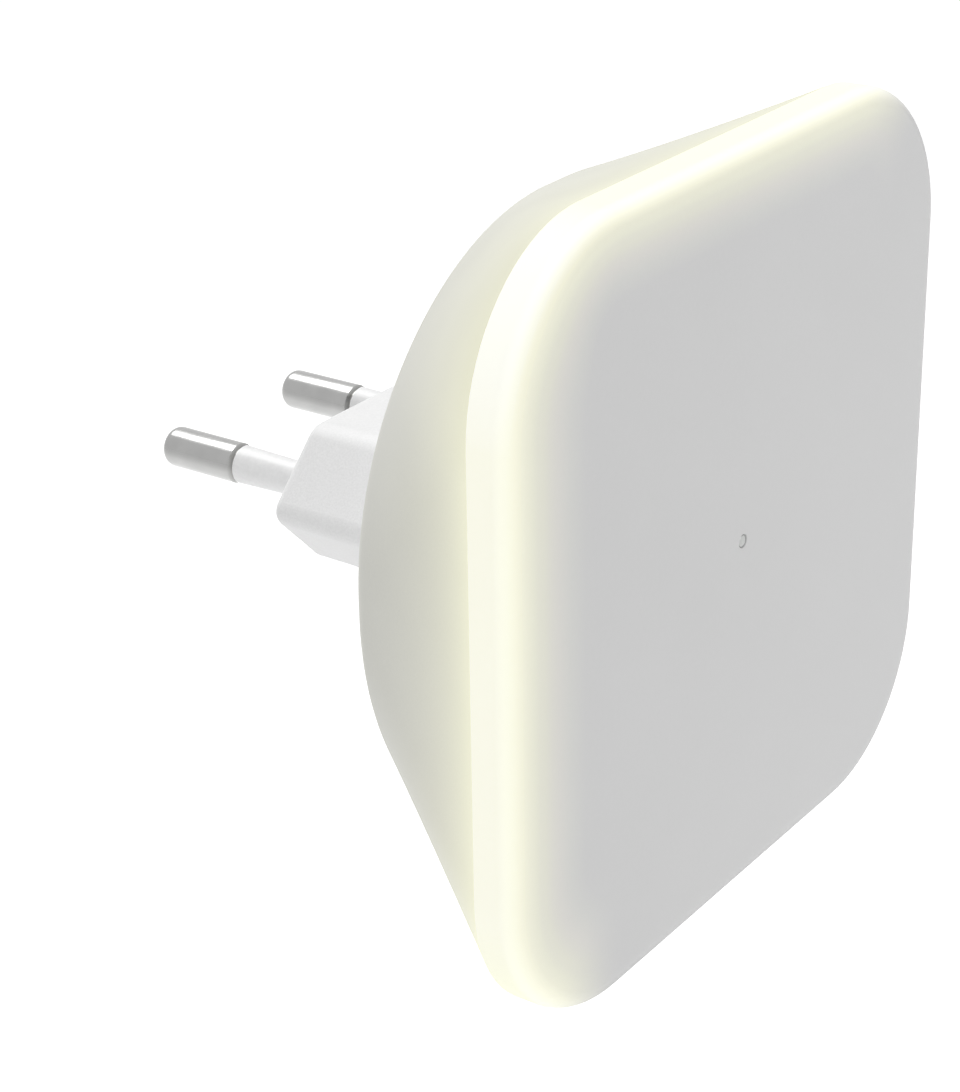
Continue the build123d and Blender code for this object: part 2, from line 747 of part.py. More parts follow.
with BuildPart() as header_contacts:
    with BuildSketch(middle.offset(lamp_depth - header_pin_sink)):
        with Locations((0, header_z)):
            with GridLocations(header_pitch, 0, header_pins, 1):
                Circle(header_pin_radius)
    extrude(amount=header_pin_sink + lamp_thickness + header_pin_end)
header_contacts.part.label = "header_contacts"
export_step(header_contacts.part, "parts/header_contacts.step")

# ---- lamp board and what it carries ----------------------------------------------
peg_place = shade_half - shade_wall / 2
with BuildPart() as led_board:
    with BuildSketch(middle.offset(lamp_depth)):
        side = width - 2 * lamp_margin
        RectangleRounded(side, side, corner - lamp_margin)
        with GridLocations(2 * pillar_place, 2 * pillar_place, 2, 2):
            Circle(screw_hole, mode=Mode.SUBTRACT)
        with GridLocations(2 * peg_place, 0, 2, 1):
            Circle(shade_peg_radius + peg_fit, mode=Mode.SUBTRACT)
        with Locations((0, header_z)):
            with GridLocations(header_pitch, 0, header_pins, 1):
                Circle(header_pin_radius + header_pin_fit, mode=Mode.SUBTRACT)
    extrude(amount=lamp_thickness)
led_board.part.label = "led_board"
export_step(led_board.part, "parts/led_board.step")

with BuildPart() as led_board_screws:
    with BuildSketch(middle.offset(lamp_front)):
        with GridLocations(2 * pillar_place, 2 * pillar_place, 2, 2):
            Circle(screw_head_radius)
    extrude(amount=screw_head)
    chamfer(led_board_screws.faces().sort_by(Axis.Y)[0:4].edges(), screw_head / 3)
    with BuildSketch(middle.offset(lamp_front)):
        with GridLocations(2 * pillar_place, 2 * pillar_place, 2, 2):
            Circle(screw_radius)
    extrude(amount=-screw_length)
led_board_screws.part.label = "led_board_screws"
export_step(led_board_screws.part, "parts/led_board_screws.step")

with BuildPart() as leds:
    with BuildSketch(middle.offset(lamp_front)):
        with GridLocations(led_pitch, 2 * led_row, leds_per_side, 2):
            Rectangle(led_size, led_size)
        with GridLocations(2 * led_row, led_pitch, 2, leds_per_side):
            Rectangle(led_size, led_size)
    extrude(amount=led_height)
leds.part.label = "leds"
export_step(leds.part, "parts/leds.step")

# A shallow white tray, open towards the board, with two pegs through it.
with BuildPart() as light_shade:
    with BuildSketch(middle.offset(lamp_front)):
        RectangleRounded(2 * shade_half, 2 * shade_half, shade_corner)
    extrude(amount=shade_front - lamp_front)
    with BuildSketch(middle.offset(lamp_front)):
        inside = 2 * (shade_half - shade_wall)
        RectangleRounded(inside, inside, shade_corner - shade_wall)
    extrude(amount=shade_front - shade_wall - lamp_front, mode=Mode.SUBTRACT)
    with BuildSketch(middle.offset(shade_front)):
        Circle(pipe_radius + pipe_fit)
    extrude(amount=-shade_wall, mode=Mode.SUBTRACT)
    with BuildSketch(middle.offset(lamp_depth)):
        with GridLocations(2 * peg_place, 0, 2, 1):
            Circle(shade_peg_radius)
    extrude(amount=lamp_thickness)
light_shade.part.label = "light_shade"
export_step(light_shade.part, "parts/light_shade.step")

sensor_front = lamp_front + sensor_height
with BuildPart() as light_sensor:
    with BuildSketch(middle.offset(lamp_front)):
        Circle(sensor_radius)
    extrude(amount=sensor_height)
    fillet(light_sensor.edges().sort_by(Axis.Y)[0], sensor_dome)
light_sensor.part.label = "light_sensor"
export_step(light_sensor.part, "parts/light_sensor.step")

with BuildPart() as light_pipe:
    with BuildSketch(middle.offset(sensor_front + sensor_gap)):
        Circle(pipe_radius)
    extrude(amount=face_depth - pipe_sink - sensor_front - sensor_gap)
    with BuildSketch(middle.offset(shade_front)):
        Circle(pipe_flange)
    extrude(amount=shade_gap)
light_pipe.part.label = "light_pipe"
export_step(light_pipe.part, "parts/light_pipe.step")
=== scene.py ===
"""Plug-in night light: a lit opal cover on a flared housing, with a Europlug and a slide switch."""
from math import cos, pi, radians, sin, sqrt

import bmesh
import bpy
from mathutils import Matrix, Vector


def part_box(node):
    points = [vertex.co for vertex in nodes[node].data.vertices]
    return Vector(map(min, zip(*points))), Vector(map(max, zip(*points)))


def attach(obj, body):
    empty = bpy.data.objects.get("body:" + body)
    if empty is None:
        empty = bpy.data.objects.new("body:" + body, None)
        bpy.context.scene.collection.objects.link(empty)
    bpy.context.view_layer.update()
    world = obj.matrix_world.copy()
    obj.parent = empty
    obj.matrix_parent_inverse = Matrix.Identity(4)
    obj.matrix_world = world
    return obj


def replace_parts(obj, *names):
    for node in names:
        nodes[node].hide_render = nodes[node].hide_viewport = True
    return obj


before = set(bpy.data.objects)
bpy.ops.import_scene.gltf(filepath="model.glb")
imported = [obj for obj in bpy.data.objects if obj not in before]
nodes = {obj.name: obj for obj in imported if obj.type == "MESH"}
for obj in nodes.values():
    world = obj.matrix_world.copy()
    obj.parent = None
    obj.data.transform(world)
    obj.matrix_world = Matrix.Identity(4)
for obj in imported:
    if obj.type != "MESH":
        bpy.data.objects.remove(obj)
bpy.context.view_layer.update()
mm = 0.001

# ---- plug pins -------------------------------------------------------------------
# Two brass pins, cut from drawn rod, their ends turned, then nickel plated. Each passes
# through the plug plate inside its sleeve, and a flat head holds it from within.
pin_radius = 2.0 * mm
pin_core = 1.25 * mm
pin_head = (2.2 * mm, 1.0 * mm)
tip_round = 1.0 * mm
sleeve_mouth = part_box("line_sleeve")[1].y
shoulder = sleeve_mouth + 0.25 * mm
shoulder_bevel = 0.3 * mm
noise_span = (0.3, 0.7)
handling_size = 2.5 * mm


def linear(code):
    """Linear RGBA of an sRGB hex code."""
    parts = [int(code[place : place + 2], 16) / 255 for place in (1, 3, 5)]
    return [c / 12.92 if c <= 0.04045 else ((c + 0.055) / 1.055) ** 2.4 for c in parts] + [1.0]


def add_node(tree, kind, inputs=None, **settings):
    """A node with its settings; each input gets a value or the socket that feeds it."""
    made = tree.nodes.new(kind)
    for name, value in settings.items():
        setattr(made, name, value)
    for socket, value in (inputs or {}).items():
        if isinstance(value, bpy.types.NodeSocket):
            tree.links.new(value, made.inputs[socket])
        else:
            made.inputs[socket].default_value = value
    return made


def ranged(tree, value, low, high, start=0.0, end=1.0, curve="LINEAR"):
    """A value carried from low and high to start and end, and held at both."""
    inputs = {"Value": value, "From Min": low, "From Max": high, "To Min": start, "To Max": end}
    made = add_node(tree, "ShaderNodeMapRange", inputs, interpolation_type=curve)
    return made.outputs["Result"]


def worked(tree, operation, *values):
    """The result of a sum on one or two values."""
    return add_node(tree, "ShaderNodeMath", dict(enumerate(values)), operation=operation).outputs[0]


def mixed(tree, share, first, second, how="MIX"):
    """Two colours mixed by a share of the second, or multiplied or added by it."""
    inputs = {"Factor": share, "A": first, "B": second}
    made = add_node(tree, "ShaderNodeMix", inputs, data_type="RGBA", blend_type=how)
    return made.outputs["Result"]


def parts_of(material):
    """A material's tree, its shader and the object's own coordinates."""
    tree = material.node_tree
    place = add_node(tree, "ShaderNodeTexCoord").outputs["Object"]
    return tree, tree.nodes["Principled BSDF"], place


def new_finish(name):
    """A new material and its parts."""
    material = bpy.data.materials.new(name)
    material.use_nodes = True
    return material, *parts_of(material)


def recolour(tree, shader, share, second, how="MIX"):
    """Mixes another colour into the one that a shader has."""
    own = shader.inputs["Base Color"].links[0].from_socket
    tree.links.new(mixed(tree, share, own, second, how), shader.inputs["Base Color"])


def plated(name, colour, roughness, line, drawn=(1, 1, 1), wear=0.05):
    """Plated metal: lines from drawing or rolling, cloudier where it was handled."""
    material, tree, shader, place = new_finish(name)
    shader.inputs["Metallic"].default_value = 1.0
    along = add_node(tree, "ShaderNodeMapping", {"Vector": place, "Scale": drawn}).outputs[0]
    lines = add_node(tree, "ShaderNodeTexNoise", {"Vector": along, "Scale": 1 / line})
    cloud = add_node(tree, "ShaderNodeTexNoise", {"Vector": place, "Scale": 1 / handling_size})
    tone = ranged(tree, cloud.outputs["Fac"], *noise_span, 1 - wear, 1 + wear)
    base = mixed(tree, 1.0, linear(colour), tone, "MULTIPLY")
    tree.links.new(base, shader.inputs["Base Color"])
    gloss = ranged(tree, lines.outputs["Fac"], *noise_span, 0.8 * roughness, 1.2 * roughness)
    tree.links.new(gloss, shader.inputs["Roughness"])
    bump = add_node(
        tree, "ShaderNodeBump", {"Height": lines.outputs["Fac"], "Distance": 0.001 * mm}
    )
    tree.links.new(bump.outputs[0], shader.inputs["Normal"])
    return material


def skin(rings, closed=False, layers=None):
    """Smooth skin through rings, either back to the first or capped at both ends."""
    mesh = bmesh.new()
    fields = [(mesh.verts.layers.float.new(label), value) for label, value in (layers or {}).items()]
    loops = []
    for place, ring in enumerate(rings):
        loops.append([mesh.verts.new(point) for point in ring])
        for layer, value_at in fields:
            for vertex in loops[-1]:
                vertex[layer] = value_at(place, vertex.co)
    for here, there in zip(loops, loops[1:] + (loops[:1] if closed else [])):
        for step in range(len(here)):
            mesh.faces.new((here[step - 1], here[step], there[step], there[step - 1]))
    if not closed:
        mesh.faces.new(loops[0])
        mesh.faces.new(loops[-1])
    return mesh


def circle(depth, radius, count=32, x=0.0):
    """Ring of a circle about the Y axis, or about a line beside it."""
    turns = [2 * pi * step / count for step in range(count)]
    return [Vector((x + radius * cos(turn), depth, radius * sin(turn))) for turn in turns]


def show(name, mesh, material=None, body="light", smooth=35):
    """Finished piece of a bmesh: faces outwards, smooth but for its sharp edges."""
    bmesh.ops.recalc_face_normals(mesh, faces=mesh.faces)
    data = bpy.data.meshes.new(name)
    mesh.to_mesh(data)
    mesh.free()
    data.shade_smooth()
    data.set_sharp_from_angle(angle=radians(smooth))
    made = bpy.data.objects.new(name, data)
    bpy.context.scene.collection.objects.link(made)
    if material:
        data.materials.append(material)
        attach(made, body)
    return made


# Nickel plate, drawn: a warm grey mirror, dulled by fine lines along the pin. The bevel
# next to the sleeve is darkened with painted shade, for the shadow in the groove there.
nickel = plated("nickel_plate_drawn", "#A9A9A8", 0.22, 0.12 * mm, drawn=(1, 0.06, 1))
tree, shader, place = parts_of(nickel)
reach = add_node(tree, "ShaderNodeSeparateXYZ", {0: place}).outputs["Y"]
groove_shade = ranged(tree, reach, shoulder + shoulder_bevel, shoulder)
recolour(tree, shader, groove_shade, linear("#8A8A88"))
for node in ("line_pin", "neutral_pin"):
    low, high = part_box(node)
    x = (low.x + high.x) / 2
    profile = [(low.y, pin_head[0]), (low.y + pin_head[1], pin_head[0])]
    profile += [(low.y + pin_head[1], pin_core), (sleeve_mouth, pin_core)]
    profile += [(sleeve_mouth, pin_radius - shoulder_bevel)]
    profile += [(shoulder, pin_radius - shoulder_bevel), (shoulder + shoulder_bevel, pin_radius)]
    for step in range(9):
        turn = radians(90 * step / 8)
        inset = tip_round * (1 - cos(turn))
        profile.append((high.y - tip_round * (1 - sin(turn)), pin_radius - inset))
    pin = skin([circle(depth, radius, 64, x) for depth, radius in profile])
    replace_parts(show(node + "_turned", pin, nickel), node)

# ---- pin sleeves -----------------------------------------------------------------
# White polyamide, moulded round each pin from its collar inside the plate to the bare
# metal, so that no live metal can be touched while the plug is half out.
melt_size = 16 * mm


def finish(node, material):
    """Gives a CAD node its material in place of the record's plain one."""
    nodes[node].data.materials.clear()
    nodes[node].data.materials.append(material)


def moulded(name, colour, grain, relief, roughness=0.5, speck=0.03, flow=0.03, ior=1.53):
    """Moulded plastic: the tool's surface in fine pits, slow shades where the melt ran."""
    material, tree, shader, place = new_finish(name)
    shader.inputs["IOR"].default_value = ior
    pits = add_node(
        tree,
        "ShaderNodeTexNoise",
        {"Vector": place, "Scale": 1 / grain, "Detail": 2.0, "Roughness": 0.6},
    ).outputs["Fac"]
    melt = add_node(
        tree, "ShaderNodeTexNoise", {"Vector": place, "Scale": 1 / melt_size, "Detail": 2.0}
    ).outputs["Fac"]
    tones = []
    for source, depth in ((pits, speck), (melt, flow)):
        tones.append(ranged(tree, source, *noise_span, 1 - depth, 1 + depth))
    base = mixed(tree, 1.0, linear(colour), worked(tree, "MULTIPLY", *tones), "MULTIPLY")
    tree.links.new(base, shader.inputs["Base Color"])
    gloss = ranged(tree, pits, *noise_span, 0.88 * roughness, 1.12 * roughness)
    tree.links.new(gloss, shader.inputs["Roughness"])
    bump = add_node(tree, "ShaderNodeBump", {"Height": pits, "Distance": relief})
    tree.links.new(bump.outputs[0], shader.inputs["Normal"])
    return material


# Polyamide, moulded in a polished tool: a soft even shine, nearly pure white.
polyamide = moulded("polyamide_white_moulded", "#E7E7E7", 0.4 * mm, 0.002 * mm, roughness=0.36)
for node in ("line_sleeve", "neutral_sleeve"):
    finish(node, polyamide)

# ---- plug plate ------------------------------------------------------------------
# One moulding of white ABS: disc, drafted Europlug boss, switch recess and the posts of
# the power board. It snaps into the housing's flange with four hooks.

# ABS from a spark-eroded tool: matt, with a mottled grain a few tenths of a millimetre
# wide, which is drawn a little coarser than it is so that it shows.
eroded_abs = moulded("ABS_white_spark_eroded", "#E7E7E7", 0.2 * mm, 0.012 * mm, speck=0.04)
strip_floor = -0.3 * mm
rating_centre = 4.9 * mm
recess_floor = -18.9 * mm
recess_centre = 16.3 * mm


def shaded_in(material, centre, half_size, colour):
    """Multiplies a material's colour inside one box of the object's own space."""
    tree, shader, place = parts_of(material)
    away = add_node(tree, "ShaderNodeVectorMath", {0: place, 1: centre}, operation="SUBTRACT")
    away = add_node(tree, "ShaderNodeVectorMath", {0: away.outputs[0]}, operation="ABSOLUTE")
    away = add_node(tree, "ShaderNodeSeparateXYZ", {0: away.outputs[0]})
    inside = 1.0
    for axis, half in zip("XYZ", half_size):
        near = worked(tree, "LESS_THAN", away.outputs[axis], half)
        inside = worked(tree, "MULTIPLY", near, inside)
    recolour(tree, shader, inside, linear(colour), "MULTIPLY")


# The same ABS on the plate, with a grey print on the floor of the switch recess, and the
# sunk strip of the rating left rough, which makes it look darker.
plate_abs = moulded("ABS_white_printed", "#E7E7E7", 0.2 * mm, 0.012 * mm, speck=0.04)
recess_half = (10.4 * mm, 0.2 * mm, 5.7 * mm)
shaded_in(plate_abs, (0, recess_floor, recess_centre), recess_half, "#C4C4C4")
strip_half = (7.6 * mm, 0.1 * mm, 1.3 * mm)
shaded_in(plate_abs, (0, strip_floor, rating_centre), strip_half, "#D6D6D6")
finish("plug_plate", plate_abs)

# ---- rating ----------------------------------------------------------------------
# Raised figures of the mains rating in the sunk strip of the boss. They are part of the
# same moulding, cut into its tool.


def letters(words, height, width, centre, low, high, bold):
    """Words read from behind the plug, as a solid between two depths, in a bmesh."""
    curve = bpy.data.curves.new("letters", "FONT")
    curve.body = words
    curve.offset = bold
    curve.extrude = 0.5
    curve.resolution_u = 4
    holder = bpy.data.objects.new("letters", curve)
    bpy.context.scene.collection.objects.link(holder)
    bpy.context.view_layer.update()
    data = bpy.data.meshes.new_from_object(
        holder.evaluated_get(bpy.context.evaluated_depsgraph_get())
    )
    bpy.data.objects.remove(holder)
    lowest = Vector(min(point.co[axis] for point in data.vertices) for axis in range(3))
    highest = Vector(max(point.co[axis] for point in data.vertices) for axis in range(3))
    size = highest - lowest
    middle = (highest + lowest) / 2
    scale = Matrix.Diagonal((width / size.x, height / size.y, (high - low) / size.z, 1))
    turn = Matrix(((-1, 0, 0, 0), (0, 0, 1, 0), (0, 1, 0, 0), (0, 0, 0, 1)))
    put = Matrix.Translation((centre[0], (low + high) / 2, centre[1]))
    data.transform(put @ turn @ scale @ Matrix.Translation(-middle))
    made = bmesh.new()
    made.from_mesh(data)
    bmesh.ops.remove_doubles(made, verts=made.verts, dist=0.001 * mm)
    bpy.data.meshes.remove(data)
    return made


figures = letters(
    "2.5A 250V~",
    2.1 * mm,
    14.2 * mm,
    (0, rating_centre),
    strip_floor - 0.02 * mm,
    strip_floor + 0.2 * mm,
    bold=0.006,
)
show("rating_figures", figures, eroded_abs, smooth=30)

# ---- switch lettering ------------------------------------------------------------
# OFF, ON and AUTO with their tick and two brackets, pad printed in grey on the floor of
# the recess. The ink stands a few hundredths of a millimetre proud.
ink_low, ink_high = recess_floor - 0.01 * mm, recess_floor + 0.03 * mm
print_mesh = bmesh.new()
for words, height, width, x, z in (
    ("OFF", 2.1, 5.45, 0, 21.15),
    ("ON", 2.1, 3.85, 5.1, 12.7),
    ("AUTO", 2.1, 7.6, -4.95, 12.7),
):
    word = letters(words, height * mm, width * mm, (x * mm, z * mm), ink_low, ink_high, 0.009)
    joined = bpy.data.meshes.new("word")
    word.to_mesh(joined)
    word.free()
    print_mesh.from_mesh(joined)
    bpy.data.meshes.remove(joined)
line = 0.28
for x0, x1, z0, z1 in (
    (-line / 2, line / 2, 19.05, 19.8),
    (1.75, 5.2, 14.67 - line / 2, 14.67 + line / 2),
    (5.2 - line, 5.2, 14.1, 14.67),
    (1.75, 1.75 + line, 14.67, 15.15),
    (-5.2, -1.75, 14.67 - line / 2, 14.67 + line / 2),
    (-5.2, -5.2 + line, 14.1, 14.67),
    (-1.75 - line, -1.75, 14.67, 15.15),
):
    size = Vector(((x1 - x0) * mm, ink_high - ink_low, (z1 - z0) * mm))
    centre = Vector(((x0 + x1) / 2 * mm, (ink_low + ink_high) / 2, (z0 + z1) / 2 * mm))
    bar = Matrix.Translation(centre) @ Matrix.Diagonal((*size, 1))
    bmesh.ops.create_cube(print_mesh, size=1.0, matrix=bar)
# Pad-printing ink: flat dark grey, a little uneven where the pad lifted.
ink = moulded("pad_print_ink_grey", "#404040", 0.12 * mm, 0.002 * mm, 0.6, speck=0.1, flow=0.1)
show("switch_lettering", print_mesh, ink, smooth=30)

# ---- slide switch ----------------------------------------------------------------
# A small bought-in slide switch: acetal knob, brass contact and terminals, and a steel
# frame, painted dark for the shade under the knob's slot, bent round a laminate base. Its legs are
# soldered to the power board.

# Acetal, moulded: mid grey, waxy, with a faint grain.
acetal = moulded("acetal_grey_moulded", "#868684", 0.3 * mm, 0.003 * mm, roughness=0.42)
finish("switch_slider", acetal)
# Spring brass, stamped from rolled strip: yellow, with rolling lines across the leaf.
brass = plated("spring_brass_stamped", "#C9A766", 0.3, 0.1 * mm, drawn=(0.1, 1, 1))
# Brass under tin: a soft grey sheen from the dip.
tin = plated("tinned_brass_dipped", "#BFBFBC", 0.4, 0.25 * mm, wear=0.08)
finish("switch_contact", brass)
finish("switch_terminals", tin)
# Steel sheet, folded, with rolling lines along the switch; its dark grey is painted shade, for the
# shadow seen through the knob's slot.
shaded_steel = plated("steel_rolled_painted_dark", "#6E7072", 0.4, 0.12 * mm, drawn=(0.08, 1, 1))
finish("switch_frame", shaded_steel)
# Phenolic paper laminate, punched: brown, with paper fibres a tenth of a millimetre wide.
phenolic = moulded("phenolic_laminate_punched", "#7B5330", 0.1 * mm, 0.004 * mm, speck=0.12)
finish("switch_base", phenolic)

# ---- pin clamp and wires ---------------------------------------------------------
# A bar of glass-filled polyamide holds both sleeves' collars down with one screw. Two
# wires, brown and blue, are soldered to the pins' heads and to the power board.

# Glass-filled polyamide: off-white, with short fibres that show as a fine streaked grain.
filled_pa = moulded("polyamide_glass_filled", "#D6D5CE", 0.15 * mm, 0.008 * mm, speck=0.06)
finish("pin_clamp", filled_pa)
# PVC insulation, extruded: even colour and a low shine.
for node, name, colour in (
    ("line_wire", "PVC_brown_extruded", "#5E3B25"),
    ("neutral_wire", "PVC_blue_extruded", "#2F5FA8"),
):
    finish(node, moulded(name, colour, 0.5 * mm, 0.002 * mm, roughness=0.34, ior=1.54))

# ---- screws ----------------------------------------------------------------------
# Nine thread-forming screws of zinc-plated steel: one in the clamp, four in each board.
# Pan head with a cross recess, coarse thread and a blunt tip.
head_radius = 1.8 * mm
head_height = 1.2 * mm
crest_radius = 0.9 * mm
core_radius = 0.62 * mm
thread_pitch = 0.8 * mm


def baked(holder):
    """The holder's evaluated mesh, with its modifiers gone."""
    graph = bpy.context.evaluated_depsgraph_get()
    data = bpy.data.meshes.new_from_object(holder.evaluated_get(graph))
    holder.modifiers.clear()
    holder.data = data
    return holder


def geometry_tree(name, sockets):
    """Empty Geometry Nodes tree with named inputs, and its group input and output."""
    tree = bpy.data.node_groups.new(name, "GeometryNodeTree")
    for label, kind in sockets:
        tree.interface.new_socket(label, in_out="INPUT", socket_type="NodeSocket" + kind)
    tree.interface.new_socket("Geometry", in_out="OUTPUT", socket_type="NodeSocketGeometry")
    return tree, add_node(tree, "NodeGroupInput").outputs


def run_tree(holder, tree, **values):
    """Sets a tree's named inputs on an object and turns the result into a plain mesh."""
    modifier = holder.modifiers.new(tree.name, "NODES")
    modifier.node_group = tree
    for item in tree.interface.items_tree:
        if item.in_out == "INPUT" and item.name in values:
            modifier[item.identifier] = values[item.name]
    return baked(holder)


# A thread is wound round the plain core that comes in as geometry.
thread_tree, given = geometry_tree(
    "screw_thread",
    [
        ("Geometry", "Geometry"),
        ("Core", "Float"),
        ("Crest", "Float"),
        ("Pitch", "Float"),
        ("Length", "Float"),
        ("Start", "Float"),
        ("Material", "Material"),
    ],
)
rounds = worked(thread_tree, "DIVIDE", given["Length"], given["Pitch"])
helix = add_node(
    thread_tree,
    "GeometryNodeCurveSpiral",
    {
        "Resolution": 20,
        "Rotations": rounds,
        "Start Radius": given["Core"],
        "End Radius": given["Core"],
        "Height": given["Length"],
    },
)
start = add_node(thread_tree, "ShaderNodeCombineXYZ", {"Y": given["Start"]})
laid = add_node(
    thread_tree,
    "GeometryNodeTransform",
    {"Geometry": helix.outputs[0], "Translation": start.outputs[0], "Rotation": (-pi / 2, 0, 0)},
)
height = worked(thread_tree, "SUBTRACT", given["Crest"], given["Core"])
ridge = add_node(
    thread_tree, "GeometryNodeCurvePrimitiveCircle", {"Resolution": 4, "Radius": height}
)
wound = add_node(
    thread_tree,
    "GeometryNodeCurveToMesh",
    {"Curve": laid.outputs[0], "Profile Curve": ridge.outputs[0], "Fill Caps": True},
)
both = add_node(thread_tree, "GeometryNodeJoinGeometry")
thread_tree.links.new(wound.outputs[0], both.inputs[0])
thread_tree.links.new(given["Geometry"], both.inputs[0])
real = add_node(thread_tree, "GeometryNodeRealizeInstances", {"Geometry": both.outputs[0]})
coated = add_node(
    thread_tree,
    "GeometryNodeSetMaterial",
    {"Geometry": real.outputs[0], "Material": given["Material"]},
)
add_node(thread_tree, "NodeGroupOutput", {"Geometry": coated.outputs[0]})

# A piece is set out at each point, turned about Y by the point's own angle and, where it
# is free to lie anyhow, by a random one.
set_out_tree, given = geometry_tree(
    "set_out",
    [
        ("Geometry", "Geometry"),
        ("Piece", "Object"),
        ("Any Turn", "Float"),
        ("Seed", "Int"),
        ("Material", "Material"),
    ],
)
piece = add_node(set_out_tree, "GeometryNodeObjectInfo", {"Object": given["Piece"]})
own = add_node(
    set_out_tree, "GeometryNodeInputNamedAttribute", {"Name": "turn"}, data_type="FLOAT"
)
anyhow = add_node(
    set_out_tree,
    "FunctionNodeRandomValue",
    {"Max": given["Any Turn"], "Seed": given["Seed"]},
    data_type="FLOAT",
)
turned = worked(set_out_tree, "ADD", own.outputs["Attribute"], anyhow.outputs["Value"])
spin = add_node(set_out_tree, "ShaderNodeCombineXYZ", {"Y": turned})
copies = add_node(
    set_out_tree,
    "GeometryNodeInstanceOnPoints",
    {
        "Points": given["Geometry"],
        "Instance": piece.outputs["Geometry"],
        "Rotation": spin.outputs[0],
    },
)
real = add_node(set_out_tree, "GeometryNodeRealizeInstances", {"Geometry": copies.outputs[0]})
coated = add_node(
    set_out_tree,
    "GeometryNodeSetMaterial",
    {"Geometry": real.outputs[0], "Material": given["Material"]},
)
add_node(set_out_tree, "NodeGroupOutput", {"Geometry": coated.outputs[0]})


def set_out(name, piece, places, material, slot=None, any_turn=0.0):
    """One mesh of a piece at (x, y, z, turn) places; the piece itself is used up."""
    data = bpy.data.meshes.new(name)
    data.from_pydata([place[:3] for place in places], [], [])
    turns = data.attributes.new("turn", "FLOAT", "POINT")
    turns.data.foreach_set("value", [place[3] for place in places])
    made = bpy.data.objects.new(name, data)
    bpy.context.scene.collection.objects.link(made)
    values = {"Piece": piece, "Any Turn": any_turn, "Seed": 7, "Material": material}
    run_tree(made, set_out_tree, **values)
    bpy.data.objects.remove(piece)
    if slot:
        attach(made, "light")
    return made


# Zinc plate, bright: bluish grey, cloudy where the screws tumbled in the barrel.
zinc = plated("zinc_plate_bright", "#B3B7BC", 0.28, 0.2 * mm, wear=0.08)
middle_height = (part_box("front_cover")[0].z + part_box("front_cover")[1].z) / 2
board_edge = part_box("power_board")[1].x
post_ring = board_edge - 2.8 * mm
pillar = 24.0 * mm
for node, places in (
    ("clamp_screw", [(0, 0)]),
    (
        "board_screws",
        [
            (post_ring * cos(radians(angle)), middle_height + post_ring * sin(radians(angle)))
            for angle in (17.6, 162.4, -51.1, -128.9)
        ],
    ),
    (
        "led_board_screws",
        [(x, middle_height + z) for x in (-pillar, pillar) for z in (-pillar, pillar)],
    ),
):
    front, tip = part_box(node)[0].y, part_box(node)[1].y
    seat = front + head_height
    rings = [circle(front, 0.75 * mm), circle(front + 0.03 * mm, 1.15 * mm)]
    rings += [circle(front + 0.12 * mm, 1.5 * mm), circle(front + 0.3 * mm, 1.72 * mm)]
    rings += [circle(front + 0.55 * mm, head_radius), circle(seat, head_radius)]
    rings += [circle(seat, 0.8 * mm), circle(seat + 0.2 * mm, core_radius)]
    rings += [circle(tip - 0.3 * mm, core_radius), circle(tip, 0.35 * mm)]
    for depth, ring in enumerate(rings):
        rings[depth] = [point - Vector((0, seat, 0)) for point in ring]
    screw = show("plain_screw", skin(rings), smooth=40)
    cross = bmesh.new()
    for size in ((2.1, 1.5, 0.42), (0.42, 1.5, 2.1)):
        bar = Matrix.Translation((0, front - seat, 0)) @ Matrix.Diagonal((*(Vector(size) * mm), 1))
        bmesh.ops.create_cube(cross, size=1.0, matrix=bar)
    cutter = show("cross_recess", cross)
    cut = screw.modifiers.new("recess", "BOOLEAN")
    cut.object = cutter
    cut.use_self = True
    baked(screw)
    bpy.data.objects.remove(cutter)
    screw.data.shade_smooth()
    screw.data.set_sharp_from_angle(angle=radians(40))
    run_tree(
        screw,
        thread_tree,
        Core=core_radius,
        Crest=crest_radius - 0.02 * mm,
        Pitch=thread_pitch,
        Length=tip - seat - 0.9 * mm,
        Start=0.45 * mm,
        Material=zinc,
    )
    spots = [(x, seat, z, 0.0) for x, z in places]
    made = set_out(node + "_threaded", screw, spots, zinc, "screw_steel", any_turn=pi / 2)
    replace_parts(made, node)

# ---- power board -----------------------------------------------------------------
# Glass-epoxy board, routed round, with green solder mask over the copper of both faces.
# Four screws hold it to the posts of the plug plate.


